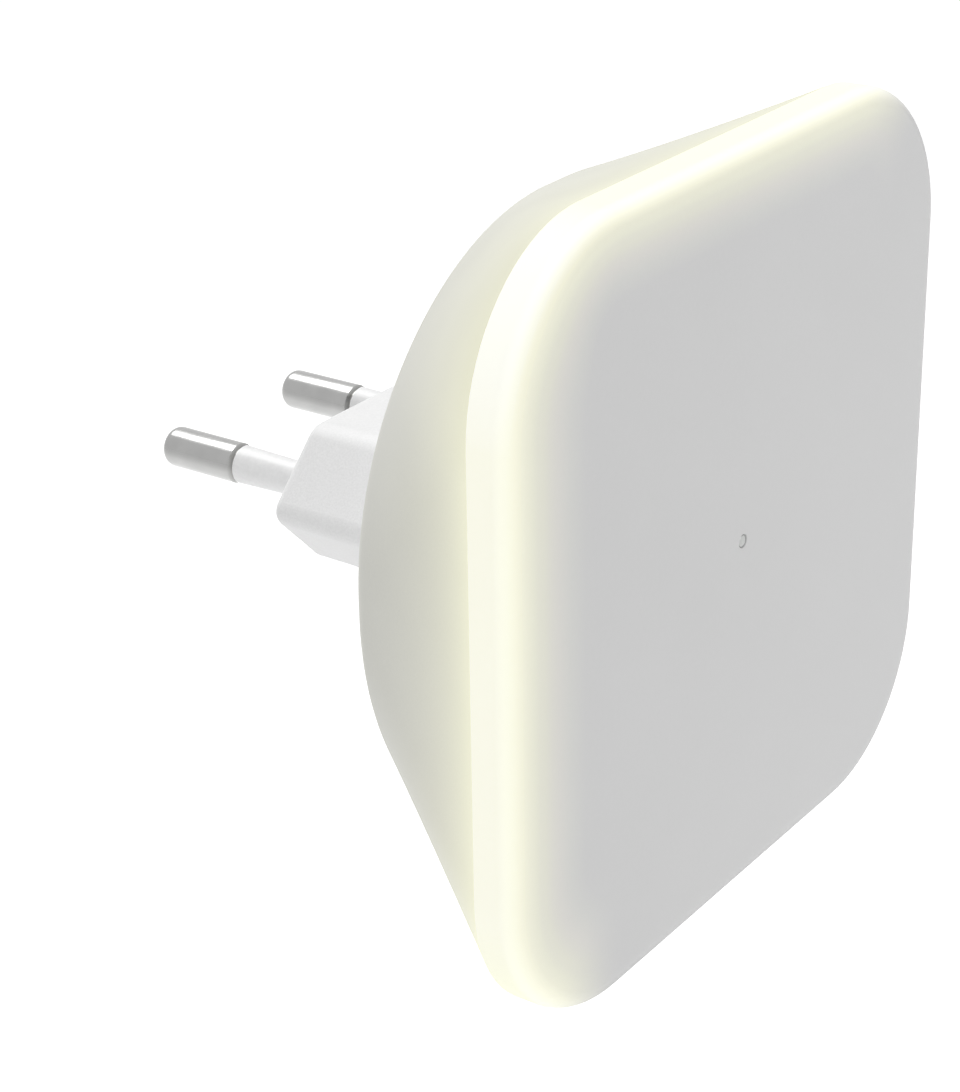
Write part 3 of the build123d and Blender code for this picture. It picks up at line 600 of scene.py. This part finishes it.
def masked_board(name, mask, track, laminate, cell, width):
    """Circuit board: copper tracks under solder mask, and bare laminate at the cut edge."""
    material, tree, shader, place = new_finish(name)
    shader.inputs["IOR"].default_value = 1.5
    shader.inputs["Roughness"].default_value = 0.3
    parts = add_node(tree, "ShaderNodeSeparateXYZ", {0: place})
    flat = add_node(
        tree, "ShaderNodeCombineXYZ", {"X": parts.outputs["X"], "Y": parts.outputs["Z"]}
    )
    near, next_near = [
        add_node(
            tree,
            "ShaderNodeTexVoronoi",
            {"Vector": flat.outputs[0], "Scale": 1 / cell, "Randomness": 0.7},
            voronoi_dimensions="2D",
            distance="MANHATTAN",
            feature=feature,
        ).outputs["Distance"]
        for feature in ("F1", "F2")
    ]
    gap = worked(tree, "SUBTRACT", next_near, near)
    copper = ranged(tree, gap, width / cell, 1.15 * width / cell, 1.0, 0.0)
    masked = mixed(tree, copper, linear(mask), linear(track))
    weave = add_node(tree, "ShaderNodeTexNoise", {"Vector": place, "Scale": 1 / (0.3 * mm)})
    bare = mixed(tree, weave.outputs["Fac"], linear(laminate), linear("#F0EBCB"))
    facing = add_node(tree, "ShaderNodeNewGeometry").outputs["True Normal"]
    level = add_node(tree, "ShaderNodeSeparateXYZ", {0: facing}).outputs["Y"]
    edge = worked(tree, "LESS_THAN", worked(tree, "ABSOLUTE", level), 0.5)
    tree.links.new(mixed(tree, edge, masked, bare), shader.inputs["Base Color"])
    bump = add_node(tree, "ShaderNodeBump", {"Height": copper, "Distance": 0.03 * mm})
    tree.links.new(bump.outputs[0], shader.inputs["Normal"])
    return material


# Solder mask, green and glossy: the 0.035 mm tracks stand up under it a shade lighter.
green_mask = masked_board(
    "solder_mask_green", "#0F4A2A", "#1F7443", "#C9BC7A", cell=3.2 * mm, width=0.9 * mm
)
finish("power_board", green_mask)

# ---- parts of the power board ----------------------------------------------------
# A capacitive dropper: film capacitor, fuse resistor and varistor on the rear face with
# the smoothing can and its bleeder, rectifier and controller on the front face.


def banded(name, axis, stops, roughness, ior=1.5):
    """Part whose colour changes along one axis: bands, bare leads or metal ends."""
    material, tree, shader, place = new_finish(name)
    shader.inputs["IOR"].default_value = ior
    shader.inputs["Roughness"].default_value = roughness
    along = add_node(tree, "ShaderNodeSeparateXYZ", {0: place}).outputs[axis]
    low, high = stops[0][0], stops[-1][0]
    share = ranged(tree, along, low, high)
    ramps = []
    for pick in (1, 2):
        ramp = add_node(tree, "ShaderNodeValToRGB", {"Fac": share})
        ramp.color_ramp.interpolation = "CONSTANT"
        marks = ramp.color_ramp.elements
        marks.remove(marks[1])
        for place_at, *values in stops[:-1]:
            at = (place_at - low) / (high - low)
            mark = marks[0] if at == 0 else marks.new(at)
            mark.color = linear(values[0]) if pick == 1 else [values[1]] * 3 + [1.0]
        ramps.append(ramp.outputs["Color"])
    lacquer = add_node(
        tree, "ShaderNodeTexNoise", {"Vector": place, "Scale": 1 / (0.6 * mm), "Detail": 2.0}
    ).outputs["Fac"]
    tone = ranged(tree, lacquer, *noise_span, 0.92, 1.05)
    tree.links.new(mixed(tree, 1.0, ramps[0], tone, "MULTIPLY"), shader.inputs["Base Color"])
    tree.links.new(ramps[1], shader.inputs["Metallic"])
    bump = add_node(tree, "ShaderNodeBump", {"Height": lacquer, "Distance": 0.02 * mm})
    tree.links.new(bump.outputs[0], shader.inputs["Normal"])
    return material


# Film capacitor: a moulded box of yellow polyester, filled with resin, half glossy.
film_box = moulded("polyester_box_yellow", "#D9B53C", 0.3 * mm, 0.006 * mm, roughness=0.38)
finish("film_capacitor", film_box)
# Electrolytic can: black shrink sleeve, bare aluminium rims at both ends, tinned leads.
low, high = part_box("electrolytic_capacitor")
can_body = (low.x, low.x + 11.0 * mm)
sleeve_ends = [
    (low.x - 0.1 * mm, "#C9CACB", 1.0),
    (low.x + 0.12 * mm, "#1B1B22", 0.0),
    (can_body[1] - 0.12 * mm, "#3A2E28", 0.0),
    (can_body[1] + 0.05 * mm, "#C6C6C4", 1.0),
    (high.x + 0.1 * mm, "#C6C6C4", 1.0),
]
finish("electrolytic_capacitor", banded("PVC_sleeve_shrunk", "X", sleeve_ends, 0.32))
# Bleed resistor: tan lacquer with its colour rings, tinned leads beyond the end caps.
low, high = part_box("bleed_resistor")
start, end = low.x + 1.2 * mm, high.x - 1.2 * mm
rings = [(low.x - 0.1 * mm, "#C6C6C4", 1.0), (start, "#CDB78C", 0.0)]
for place_at, colour in ((0.9, "#C8A233"), (1.9, "#6B4FA0"), (2.9, "#C8A233"), (4.6, "#B08A3A")):
    rings.append((start + place_at * mm, colour, 0.0))
    rings.append((start + (place_at + 0.45) * mm, "#CDB78C", 0.0))
rings += [(end, "#C6C6C4", 1.0), (high.x + 0.1 * mm, "#C6C6C4", 1.0)]
finish("bleed_resistor", banded("lacquer_tan_ringed", "X", rings, 0.36))
# Fuse resistor: grey-green cement coat, dipped and ringed, with tinned leads.
low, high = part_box("fuse_resistor")
start, end = low.z + 1.2 * mm, high.z - 1.2 * mm
rings = [(low.z - 0.1 * mm, "#C6C6C4", 1.0), (start, "#7C9080", 0.0)]
for place_at, colour in ((1.0, "#6A3F22"), (2.1, "#1A1A1A"), (3.2, "#1A1A1A"), (5.2, "#C8A233")):
    rings.append((start + place_at * mm, colour, 0.0))
    rings.append((start + (place_at + 0.5) * mm, "#7C9080", 0.0))
rings += [(end, "#C6C6C4", 1.0), (high.z + 0.1 * mm, "#C6C6C4", 1.0)]
finish("fuse_resistor", banded("cement_coat_ringed", "Z", rings, 0.6))
# Varistor: blue epoxy, dipped, glossy with the slow ripple of the dip.
dipped = moulded("epoxy_blue_dipped", "#2E5FA6", 1.1 * mm, 0.05 * mm, roughness=0.22)
finish("varistor", dipped)


def packaged(name, middle_z, half_height):
    """Chip: black moulded epoxy, and tinned legs above and below."""
    material = moulded(name, "#26262A", 0.15 * mm, 0.004 * mm, roughness=0.55, speck=0.08)
    tree, shader, place = parts_of(material)
    level = add_node(tree, "ShaderNodeSeparateXYZ", {0: place}).outputs["Z"]
    away = worked(tree, "ABSOLUTE", worked(tree, "SUBTRACT", level, middle_z))
    leg = worked(tree, "GREATER_THAN", away, half_height + 0.01 * mm)
    recolour(tree, shader, leg, linear("#C4C4C2"))
    tree.links.new(leg, shader.inputs["Metallic"])
    return material


# Moulded epoxy: charcoal, matt; the legs are bright tin.
for node in ("control_chip", "bridge_rectifier"):
    low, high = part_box(node)
    finish(node, packaged(node + "_epoxy_moulded", (low.z + high.z) / 2, 1.95 * mm))
# Header: black nylon with a faint grain, brass pins drawn square-edged and plated.
nylon = moulded("nylon_black_moulded", "#1F1F21", 0.2 * mm, 0.006 * mm, roughness=0.45)
finish("board_header", nylon)
pin_brass = plated("brass_wire_drawn", "#CBB070", 0.26, 0.1 * mm, drawn=(1, 0.08, 1))
finish("header_contacts", pin_brass)

# ---- rear housing ----------------------------------------------------------------
# A deep flared shell of warm white ABS, injection moulded with a fine matt grain. It
# grows from a round drum at the back to the square seam of the cover, and next to the
# seam a painted glow stands in for the lamps inside shining through it.
low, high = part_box("rear_housing")
seam, ledge = low.y, high.y
half_width = high.x
front_corner = 16.0 * mm
drum_radius = 30.2 * mm
drum_round = 1.4 * mm
side_flare = 1.17
corner_flare = 1.02
shell_wall = 2.0 * mm
disc_bore = 25.8 * mm
board_bore = 22.5 * mm
plate_seat = -20.8 * mm
flange_front = -22.8 * mm
points_around = 208


def outline(depth, half, corner, count=points_around, rise=middle_height):
    """Ring of a rounded square; a corner as large as its half makes a circle."""
    flat = half - corner
    ring = []
    for step in range(count):
        x, z = cos(2 * pi * step / count), sin(2 * pi * step / count)
        short, long = sorted((abs(x), abs(z)))
        if short / long * half <= flat:
            reach = half / long
        else:
            across = flat * (short + long)
            reach = across + sqrt(max(across**2 - 2 * flat**2 + corner**2, 0))
        ring.append(Vector((reach * x, depth, rise + reach * z)))
    return ring


corner_start = drum_radius + 0.06 * mm
corner_end = (half_width - front_corner) * sqrt(2) + front_corner


def flare(depth, inset=0.0):
    """Ring of the flare: its sides and its corners grow by their own powers."""
    share = (ledge - depth) / (ledge - seam)
    half = drum_radius + (half_width - drum_radius) * share**side_flare
    reach = corner_start + (corner_end - corner_start) * share**corner_flare
    corner = (half * sqrt(2) - reach) / (sqrt(2) - 1)
    return outline(depth, half - inset, corner - inset)


rings = []
flare_rings = 44
for step in range(flare_rings):
    rings.append(flare(seam + (ledge - drum_round - seam) * step / flare_rings))
for step in range(9):
    turn = radians(90 * step / 8)
    rings.append(flare(ledge - drum_round * (1 - sin(turn)), drum_round * (1 - cos(turn))))
for depth, radius in (
    (ledge, 28.0 * mm),
    (ledge, disc_bore + 0.1 * mm),
    (ledge - 0.1 * mm, disc_bore),
    (plate_seat, disc_bore),
    (plate_seat, board_bore),
    (flange_front, board_bore),
    (flange_front, 26.0 * mm),
):
    rings.append(outline(depth, radius, radius))
for step in range(15):
    rings.append(flare(flange_front + (seam - flange_front) * step / 14, shell_wall))

# Matt ABS: warm white, with an even grain a quarter of a millimetre wide, and a painted
# glow for the lamps' light coming through the wall and off the lit band, fading with the
# distance from the seam. Towards the top the painted glow is yellower and reaches further, and there
# it also stands in for the studio light falling on the top.
matt_abs = moulded("ABS_warm_white_matt", "#CBCBC6", 0.25 * mm, 0.006 * mm, 0.55, speck=0.02)
tree, shader, place = parts_of(matt_abs)
leak_length = 5.6 * mm
top_growth = 2.2
top_start, top_end = 18 * mm, 34 * mm
places = add_node(tree, "ShaderNodeSeparateXYZ", {0: place})
behind = worked(tree, "SUBTRACT", seam, places.outputs["Y"])
high_up = ranged(tree, places.outputs["Z"], top_start, top_end)
reach = ranged(tree, high_up, 0.0, 1.0, leak_length, top_growth * leak_length)
faded = worked(tree, "EXPONENT", worked(tree, "DIVIDE", behind, reach))
glow_tint = mixed(tree, high_up, linear("#9B9A70"), linear("#676500"))
painted_glow = mixed(tree, 1.0, glow_tint, faded, "MULTIPLY")
tree.links.new(painted_glow, shader.inputs["Emission Color"])
shader.inputs["Emission Strength"].default_value = 1.0
housing = show("housing_shell", skin(rings, closed=True), matt_abs)

# Pockets for the nibs of the cover's tabs are cut into the inside of the wall.
tab_line = half_width - 3.75 * mm
tab_place = 12.0 * mm
tab_end = seam + 3.4 * mm
nib_length = 1.2 * mm
nib_height = 0.9 * mm
nib_room = 0.3 * mm
tab_spots = []
for step in range(4):
    turn = step * pi / 2
    for along in (-tab_place, tab_place):
        spot = (along * cos(turn), 0, middle_height - along * sin(turn), turn)
        tab_spots.append(spot)
pocket = bmesh.new()
size = (6.6 * mm, nib_length + 2 * nib_room, 2 * (nib_height + nib_room))
spot = Matrix.Translation((0, tab_end - nib_length / 2, tab_line))
bmesh.ops.create_cube(pocket, size=1.0, matrix=spot @ Matrix.Diagonal((*size, 1)))
pockets = set_out("pockets", show("pocket", pocket), tab_spots, matt_abs)
cut = housing.modifiers.new("pockets", "BOOLEAN")
cut.object = pockets
baked(housing)
bpy.data.objects.remove(pockets)


def add_to(piece, extra):
    """Joins another object's mesh into a piece, as one moulding."""
    whole = bmesh.new()
    whole.from_mesh(piece.data)
    whole.from_mesh(extra.data)
    whole.to_mesh(piece.data)
    whole.free()
    bpy.data.objects.remove(extra)


# Four pillars stand up out of the wall at the corners, with a blind hole for a screw.
pillar_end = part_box("led_board")[1].y
post_radius = 2.5 * mm
hole_radius = 0.95 * mm
hole_end = pillar_end + 5.0 * mm
pillar_rings = []
for radius, ends in (
    (post_radius, "foot"),
    (post_radius, "end"),
    (hole_radius, "end"),
    (hole_radius, "hole"),
):
    ring = []
    for point in circle(0, radius):
        x, z = pillar + point.x, pillar + point.z
        grown = (sqrt(x**2 + z**2) + shell_wall / 2 - corner_start) / (corner_end - corner_start)
        wall = min(ledge + (seam - ledge) * max(grown, 0) ** (1 / corner_flare), flange_front)
        depth = {"foot": wall, "end": pillar_end, "hole": hole_end}[ends]
        ring.append(Vector((x, depth, z)))
    pillar_rings.append(ring)
quarters = [(0, 0, middle_height, step * pi / 2) for step in range(4)]
post = show("pillar", skin(pillar_rings))
add_to(housing, set_out("pillars", post, quarters, matt_abs))
housing.data.shade_smooth()
housing.data.set_sharp_from_angle(angle=radians(35))
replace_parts(housing, "rear_housing")

# ---- lamp board ------------------------------------------------------------------
# Glass-epoxy board that fills the cover, masked white so that it throws the light
# forward. Four screws hold it to the housing's pillars.

# Solder mask, white and satin: the tracks are barely seen as a shade under it.
white_mask = masked_board(
    "solder_mask_white", "#E6E6E2", "#DAD9D2", "#D8CF9A", cell=6.5 * mm, width=1.3 * mm
)
finish("led_board", white_mask)

# ---- lamps -----------------------------------------------------------------------
# Sixteen warm white lamps, four along each side of the board: a white package with a
# round well full of yellow phosphor that glows.
lamp_front, lamp_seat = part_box("leds")[0].y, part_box("leds")[1].y
lamp_row = 28.3 * mm
lamp_pitch = 9.6 * mm
lamp_half = 1.5 * mm
lamp_corner = 0.2 * mm
well_floor = lamp_front + 0.12 * mm
rings = [outline(lamp_seat, lamp_half, lamp_corner, 32, 0.0)]
rings += [outline(lamp_front + 0.05 * mm, lamp_half, lamp_corner, 32, 0.0)]
rings += [outline(lamp_front, 1.45 * mm, lamp_corner, 32, 0.0), circle(lamp_front, 1.25 * mm)]
rings += [circle(well_floor, 1.12 * mm), circle(well_floor, 0.6 * mm)]
phosphor_at = {"phosphor": lambda place, point: float(place >= 4)}
package = show("package", skin(rings, layers=phosphor_at))
# Polyphthalamide, white and matt; the silicone in the well is yellow and lit.
lamp_finish = moulded("polyphthalamide_and_phosphor", "#EDEDEA", 0.2 * mm, 0.003 * mm)
tree, shader = lamp_finish.node_tree, lamp_finish.node_tree.nodes["Principled BSDF"]
well = add_node(tree, "ShaderNodeAttribute", attribute_name="phosphor").outputs["Fac"]
recolour(tree, shader, well, linear("#EBD23C"))
lit = mixed(tree, well, linear("#000000"), linear("#FFF3C4"))
tree.links.new(lit, shader.inputs["Emission Color"])
shader.inputs["Emission Strength"].default_value = 1.0
spots = []
for across in (-1.5, -0.5, 0.5, 1.5):
    for row in (-lamp_row, lamp_row):
        spots.append((across * lamp_pitch, 0, middle_height + row, 0.0))
        spots.append((row, 0, middle_height + across * lamp_pitch, pi / 2))
lamps = set_out("lamp_packages", package, spots, lamp_finish, "led_package")
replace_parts(lamps, "leds")

# ---- shade, sensor and light pipe ------------------------------------------------
# A shallow white tray keeps the lamps' light off the middle of the cover. Behind its
# centre a dusk sensor looks out through a clear rod in the cover's hole.

# Polycarbonate filled with white pigment: bright and evenly glossy, to reflect.
reflector = moulded("polycarbonate_white_reflector", "#EEEEEC", 0.4 * mm, 0.002 * mm, 0.3, ior=1.585)
finish("light_shade", reflector)
# Water-clear epoxy over a dark chip: smoky grey with a glassy top.
clear_epoxy = moulded("epoxy_clear_cast", "#77777C", 0.6 * mm, 0.001 * mm, roughness=0.1)
clear_epoxy.node_tree.nodes["Principled BSDF"].inputs["Transmission Weight"].default_value = 0.35
finish("light_sensor", clear_epoxy)
# Acrylic rod, moulded: clear, with a slightly frosted end.
acrylic = moulded("acrylic_clear_moulded", "#D2D4D2", 0.5 * mm, 0.001 * mm, 0.3, ior=1.49)
acrylic.node_tree.nodes["Principled BSDF"].inputs["Transmission Weight"].default_value = 0.2
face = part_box("front_cover")[0].y
inside_face = face + 2.0 * mm
pipe_radius = 0.55 * mm
pipe_back, pipe_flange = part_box("light_pipe")[1].y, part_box("light_pipe")[1].x
flange_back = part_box("light_shade")[0].y
rings = [
    outline(depth, radius, radius, 32)
    for depth, radius in (
        (face + 0.02 * mm, 0.2 * mm),
        (face + 0.04 * mm, 0.42 * mm),
        (face + 0.08 * mm, pipe_radius),
        (inside_face, pipe_radius),
        (inside_face, pipe_flange),
        (flange_back, pipe_flange),
        (flange_back, pipe_radius),
        (pipe_back, pipe_radius),
    )
]
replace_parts(show("light_pipe_domed", skin(rings), acrylic), "light_pipe")

# ---- front cover -----------------------------------------------------------------
# A shallow opal polycarbonate cap, satin outside, snapped on with eight hidden tabs.
# Its side band and the rim of its face carry a painted glow for the lamps behind; the
# middle of the face, which the tray inside shades, gets none and keeps its plain grey white.
edge_round = 2.0 * mm
cover_wall = 2.2 * mm
pipe_hole = pipe_radius + 0.07 * mm
glow_reach = 12.6 * mm
top_shortening = 0.45
stronger_glow_facing = (-0.93, 0.366)
band_front = face + 0.9 * mm
band_back = face + 2.1 * mm
hole_inset = half_width - pipe_hole
profile = [(seam + (face + edge_round - seam) * share, 0) for share in (0, 0.03, 0.5, 0.97)]
for step in range(11):
    turn = radians(9 * step)
    profile.append((face + edge_round * (1 - sin(turn)), edge_round * (1 - cos(turn))))
for step in range(1, 16):
    profile.append((face, edge_round + (glow_reach - edge_round) * step / 15))
profile += [(face, inset * mm) for inset in (18, 24, 30, 33.5, 34.8, 35.6)]
profile += [(face, hole_inset - 0.08 * mm), (face + 0.08 * mm, hole_inset)]
profile += [(inside_face, hole_inset)]
profile += [(inside_face, inset * mm) for inset in (30, 18, 8)]
profile += [(inside_face, cover_wall), (seam, cover_wall)]
rings = []
for depth, inset in profile:
    half = half_width - inset
    corner = max(front_corner - inset, 0.2 * half)
    if inset > front_corner:
        corner = half * (0.2 + 0.8 * (inset - front_corner) / (hole_inset - front_corner))
    rings.append(outline(depth, half, corner))


def edge_facing(point):
    """Direction, across the front, that the nearest edge of the cover faces."""
    flat = half_width - front_corner
    x, z = point.x, point.z - middle_height
    x, z = x - max(min(x, flat), -flat), z - max(min(z, flat), -flat)
    length = max(sqrt(x**2 + z**2), 0.001 * mm)
    return x / length, z / length


def glow_distance(place, point):
    """Distance inside the outline, as a share of the glow's reach, which is less at the top."""
    upward = max(edge_facing(point)[1], 0)
    return profile[place][1] * (1 + top_shortening * upward**5) / glow_reach


def lit_side(place, point):
    """How far the nearest edge faces up and left, the side where the face's rim gets a stronger
    painted glow, like glare off the lit band.
    """
    x, z = edge_facing(point)
    return stronger_glow_facing[0] * x + stronger_glow_facing[1] * z


def edge_rise(place, point):
    """How far the nearest edge faces up or down."""
    return abs(edge_facing(point)[1])


def corner_share(place, point):
    """1 on the band at the upper left corner, less along the sides and over the edge."""
    x, z = edge_facing(point)
    return 2 * max(-x, 0) * max(z, 0) * max(1 - 2 * profile[place][1] / edge_round, 0)


def shades_over(tree, distance, levels):
    """A run of colours over the glow's reach, each at its own inset in millimetres."""
    run = add_node(tree, "ShaderNodeValToRGB", {"Fac": distance})
    stops = run.color_ramp.elements
    stops.remove(stops[1])
    for inset, level in levels:
        stop = stops[0] if inset == 0 else stops.new(inset * mm / glow_reach)
        stop.color = linear(level)
    return run.outputs["Color"]


cover_layers = {
    "glow_distance": glow_distance,
    "lit_side": lit_side,
    "edge_rise": edge_rise,
    "corner_share": corner_share,
}
# Opal polycarbonate, satin: an even milky white, with a warm painted glow where a lamp is close.
opal = moulded("polycarbonate_opal_satin", "#D2D2D2", 0.5 * mm, 0.001 * mm, 0.5, 0.008, 0.008, 1.585)
tree, shader, place = parts_of(opal)
distance, side, rise, in_corner = [
    add_node(tree, "ShaderNodeAttribute", attribute_name=field).outputs["Fac"]
    for field in cover_layers
]
levels = (
    (0, "#C2C2AA"),
    (0.3, "#BFBFA4"),
    (0.6, "#BABA9A"),
    (1.0, "#B1AF8B"),
    (1.5, "#9E9D77"),
    (2.0, "#8D8C63"),
    (3.0, "#7E7E54"),
    (3.75, "#72714B"),
    (4.5, "#6C6B45"),
    (5.5, "#5F5C40"),
    (6.5, "#544F3B"),
    (8.4, "#383927"),
    (10.6, "#0D0D07"),
    (12.6, "#000000"),
)
fade = shades_over(tree, distance, levels)
side_fade = ranged(tree, side, -0.4, 0.45, curve="SMOOTHSTEP")
face_glow = mixed(tree, 1.0, fade, side_fade, "MULTIPLY")
# The band round the side carries painted glow all the way: a little yellower along the
# top and bottom, brighter and whiter at the upper left corner.
yellower = ranged(tree, rise, 0.1, 0.8)
band = mixed(tree, yellower, linear("#B4B39A"), linear("#A9AA7B"))
depth = add_node(tree, "ShaderNodeSeparateXYZ", {0: place}).outputs["Y"]
band_share = ranged(tree, depth, band_front, band_back, curve="SMOOTHSTEP")
glow = mixed(tree, band_share, face_glow, band)
glow = mixed(tree, in_corner, glow, linear("#58597E"), "ADD")
tree.links.new(glow, shader.inputs["Emission Color"])
shader.inputs["Emission Strength"].default_value = 1.0
shader.inputs["Specular IOR Level"].default_value = 0.08
# Painted shade: on the sides that stay unlit, the rounded edge is painted a shade darker than the
# face.
levels = ((0, "#FFFFFF"), (0.5, "#F2F2F2"), (1.2, "#F2F2F2"), (1.8, "#FFFFFF"))
painted_edge_shade = shades_over(tree, distance, levels)
unlit = ranged(tree, side, -0.36, 0.1, 1.0, 0.0)
recolour(tree, shader, unlit, painted_edge_shade, "MULTIPLY")
shell = skin(rings, closed=True, layers=cover_layers)
cover = show("opal_cover", shell, opal)

# Snap tabs inside the cover's rim, two to a side, with a sloped nib at each free end.
tab_root = inside_face - 0.5 * mm
tab_inner = tab_line - 1.3 * mm
tab_half_width = 3.0 * mm
nib_slope = 0.7 * mm
tab_sides = []
for x in (-tab_half_width, tab_half_width):
    tab_sides.append(
        [
            Vector((x, tab_root, tab_line)),
            Vector((x, tab_root, tab_inner)),
            Vector((x, tab_end, tab_inner)),
            Vector((x, tab_end, tab_line + 0.3 * mm)),
            Vector((x, tab_end - nib_slope, tab_line + nib_height)),
            Vector((x, tab_end - nib_length, tab_line + nib_height)),
            Vector((x, tab_end - nib_length, tab_line)),
        ]
    )
tab = show("tab", skin(tab_sides), smooth=20)
add_to(cover, set_out("tabs", tab, tab_spots, opal))
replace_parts(cover, "front_cover")

# ---- studio ----------------------------------------------------------------------
# A pale paper floor well below, a white surround, and soft lamps that leave the pale
# plastics just under white.


def seen_share(tree):
    """1 for rays from the camera or off a mirror or glass, 0 for those that carry light."""
    path = add_node(tree, "ShaderNodeLightPath").outputs
    share = path["Is Camera Ray"]
    for kind in ("Is Glossy Ray", "Is Transmission Ray"):
        share = worked(tree, "MAXIMUM", share, path[kind])
    return share


floor_mesh = bmesh.new()
bmesh.ops.create_circle(
    floor_mesh, cap_ends=True, segments=96, radius=4.0, matrix=Matrix.Translation((0, 0, -0.35))
)
floor_data = bpy.data.meshes.new("paper_floor")
floor_mesh.to_mesh(floor_data)
floor_mesh.free()
floor = bpy.data.objects.new("paper_floor", floor_data)
bpy.context.scene.collection.objects.link(floor)
paper = bpy.data.materials.new("paper_white_matt")
paper.use_nodes = True
tree = paper.node_tree
tree.nodes.clear()
matt = add_node(tree, "ShaderNodeBsdfDiffuse", {"Color": linear("#EAEAEA")})
lift = worked(tree, "MULTIPLY", seen_share(tree), 0.7)
white = add_node(tree, "ShaderNodeEmission", {"Strength": lift})
total = add_node(tree, "ShaderNodeAddShader", {0: matt.outputs[0], 1: white.outputs[0]})
add_node(tree, "ShaderNodeOutputMaterial", {"Surface": total.outputs[0]})
floor_data.materials.append(paper)

world = bpy.data.worlds.new("white_surround")
bpy.context.scene.world = world
world.use_nodes = True
tree = world.node_tree
tree.nodes.clear()
ambient = add_node(tree, "ShaderNodeBackground", {"Color": (1, 1, 1, 1), "Strength": 0.38})
backdrop = add_node(tree, "ShaderNodeBackground", {"Color": (1, 1, 1, 1), "Strength": 1.0})
surround = add_node(
    tree,
    "ShaderNodeMixShader",
    {0: seen_share(tree), 1: ambient.outputs[0], 2: backdrop.outputs[0]},
)
add_node(tree, "ShaderNodeOutputWorld", {"Surface": surround.outputs[0]})


def softbox(name, place, size, power):
    """Rectangular diffused lamp that faces the object."""
    lamp = bpy.data.lights.new(name, "AREA")
    lamp.shape = "RECTANGLE"
    lamp.size, lamp.size_y = size
    lamp.energy = power
    holder = bpy.data.objects.new(name, lamp)
    holder.location = place
    holder.rotation_euler = (-Vector(place)).to_track_quat("-Z", "Y").to_euler()
    bpy.context.scene.collection.objects.link(holder)
    return holder


# One lamp for the face, one above and behind for the top and the back, and a small one
# at the left for the housing and the plug, which the pins don't mirror.
softbox("front_softbox", (0.3, -0.8, 0.1), (0.6, 0.6), 3.4)
softbox("strip_softbox", (0.3, 0.36, 0.74), (0.9, 0.45), 6.4)
side_softbox = softbox("side_softbox", (-0.55, 0.18, 0.06), (0.4, 0.2), 1.12)
side_softbox.visible_glossy = False

# The camera looks down from the left in front, with the plug and the whole cover in view.
camera_data = bpy.data.cameras.new("camera")
camera = bpy.data.objects.new("camera", camera_data)
bpy.context.scene.collection.objects.link(camera)
right = Vector((0.589824, -0.807181, -0.023778))
up = Vector((0.336381, 0.218819, 0.915951))
axes = Matrix((right, up, right.cross(up))).transposed().to_4x4()
camera.matrix_world = Matrix.Translation((-0.190867, -0.147316, 0.100498)) @ axes
camera_data.sensor_width = 36
camera_data.lens = 87.87
camera_data.shift_x = 0.0529
camera_data.shift_y = -0.043
camera_data.clip_start = 0.01
bpy.context.scene.camera = camera
bpy.context.scene.view_settings.view_transform = "Standard"
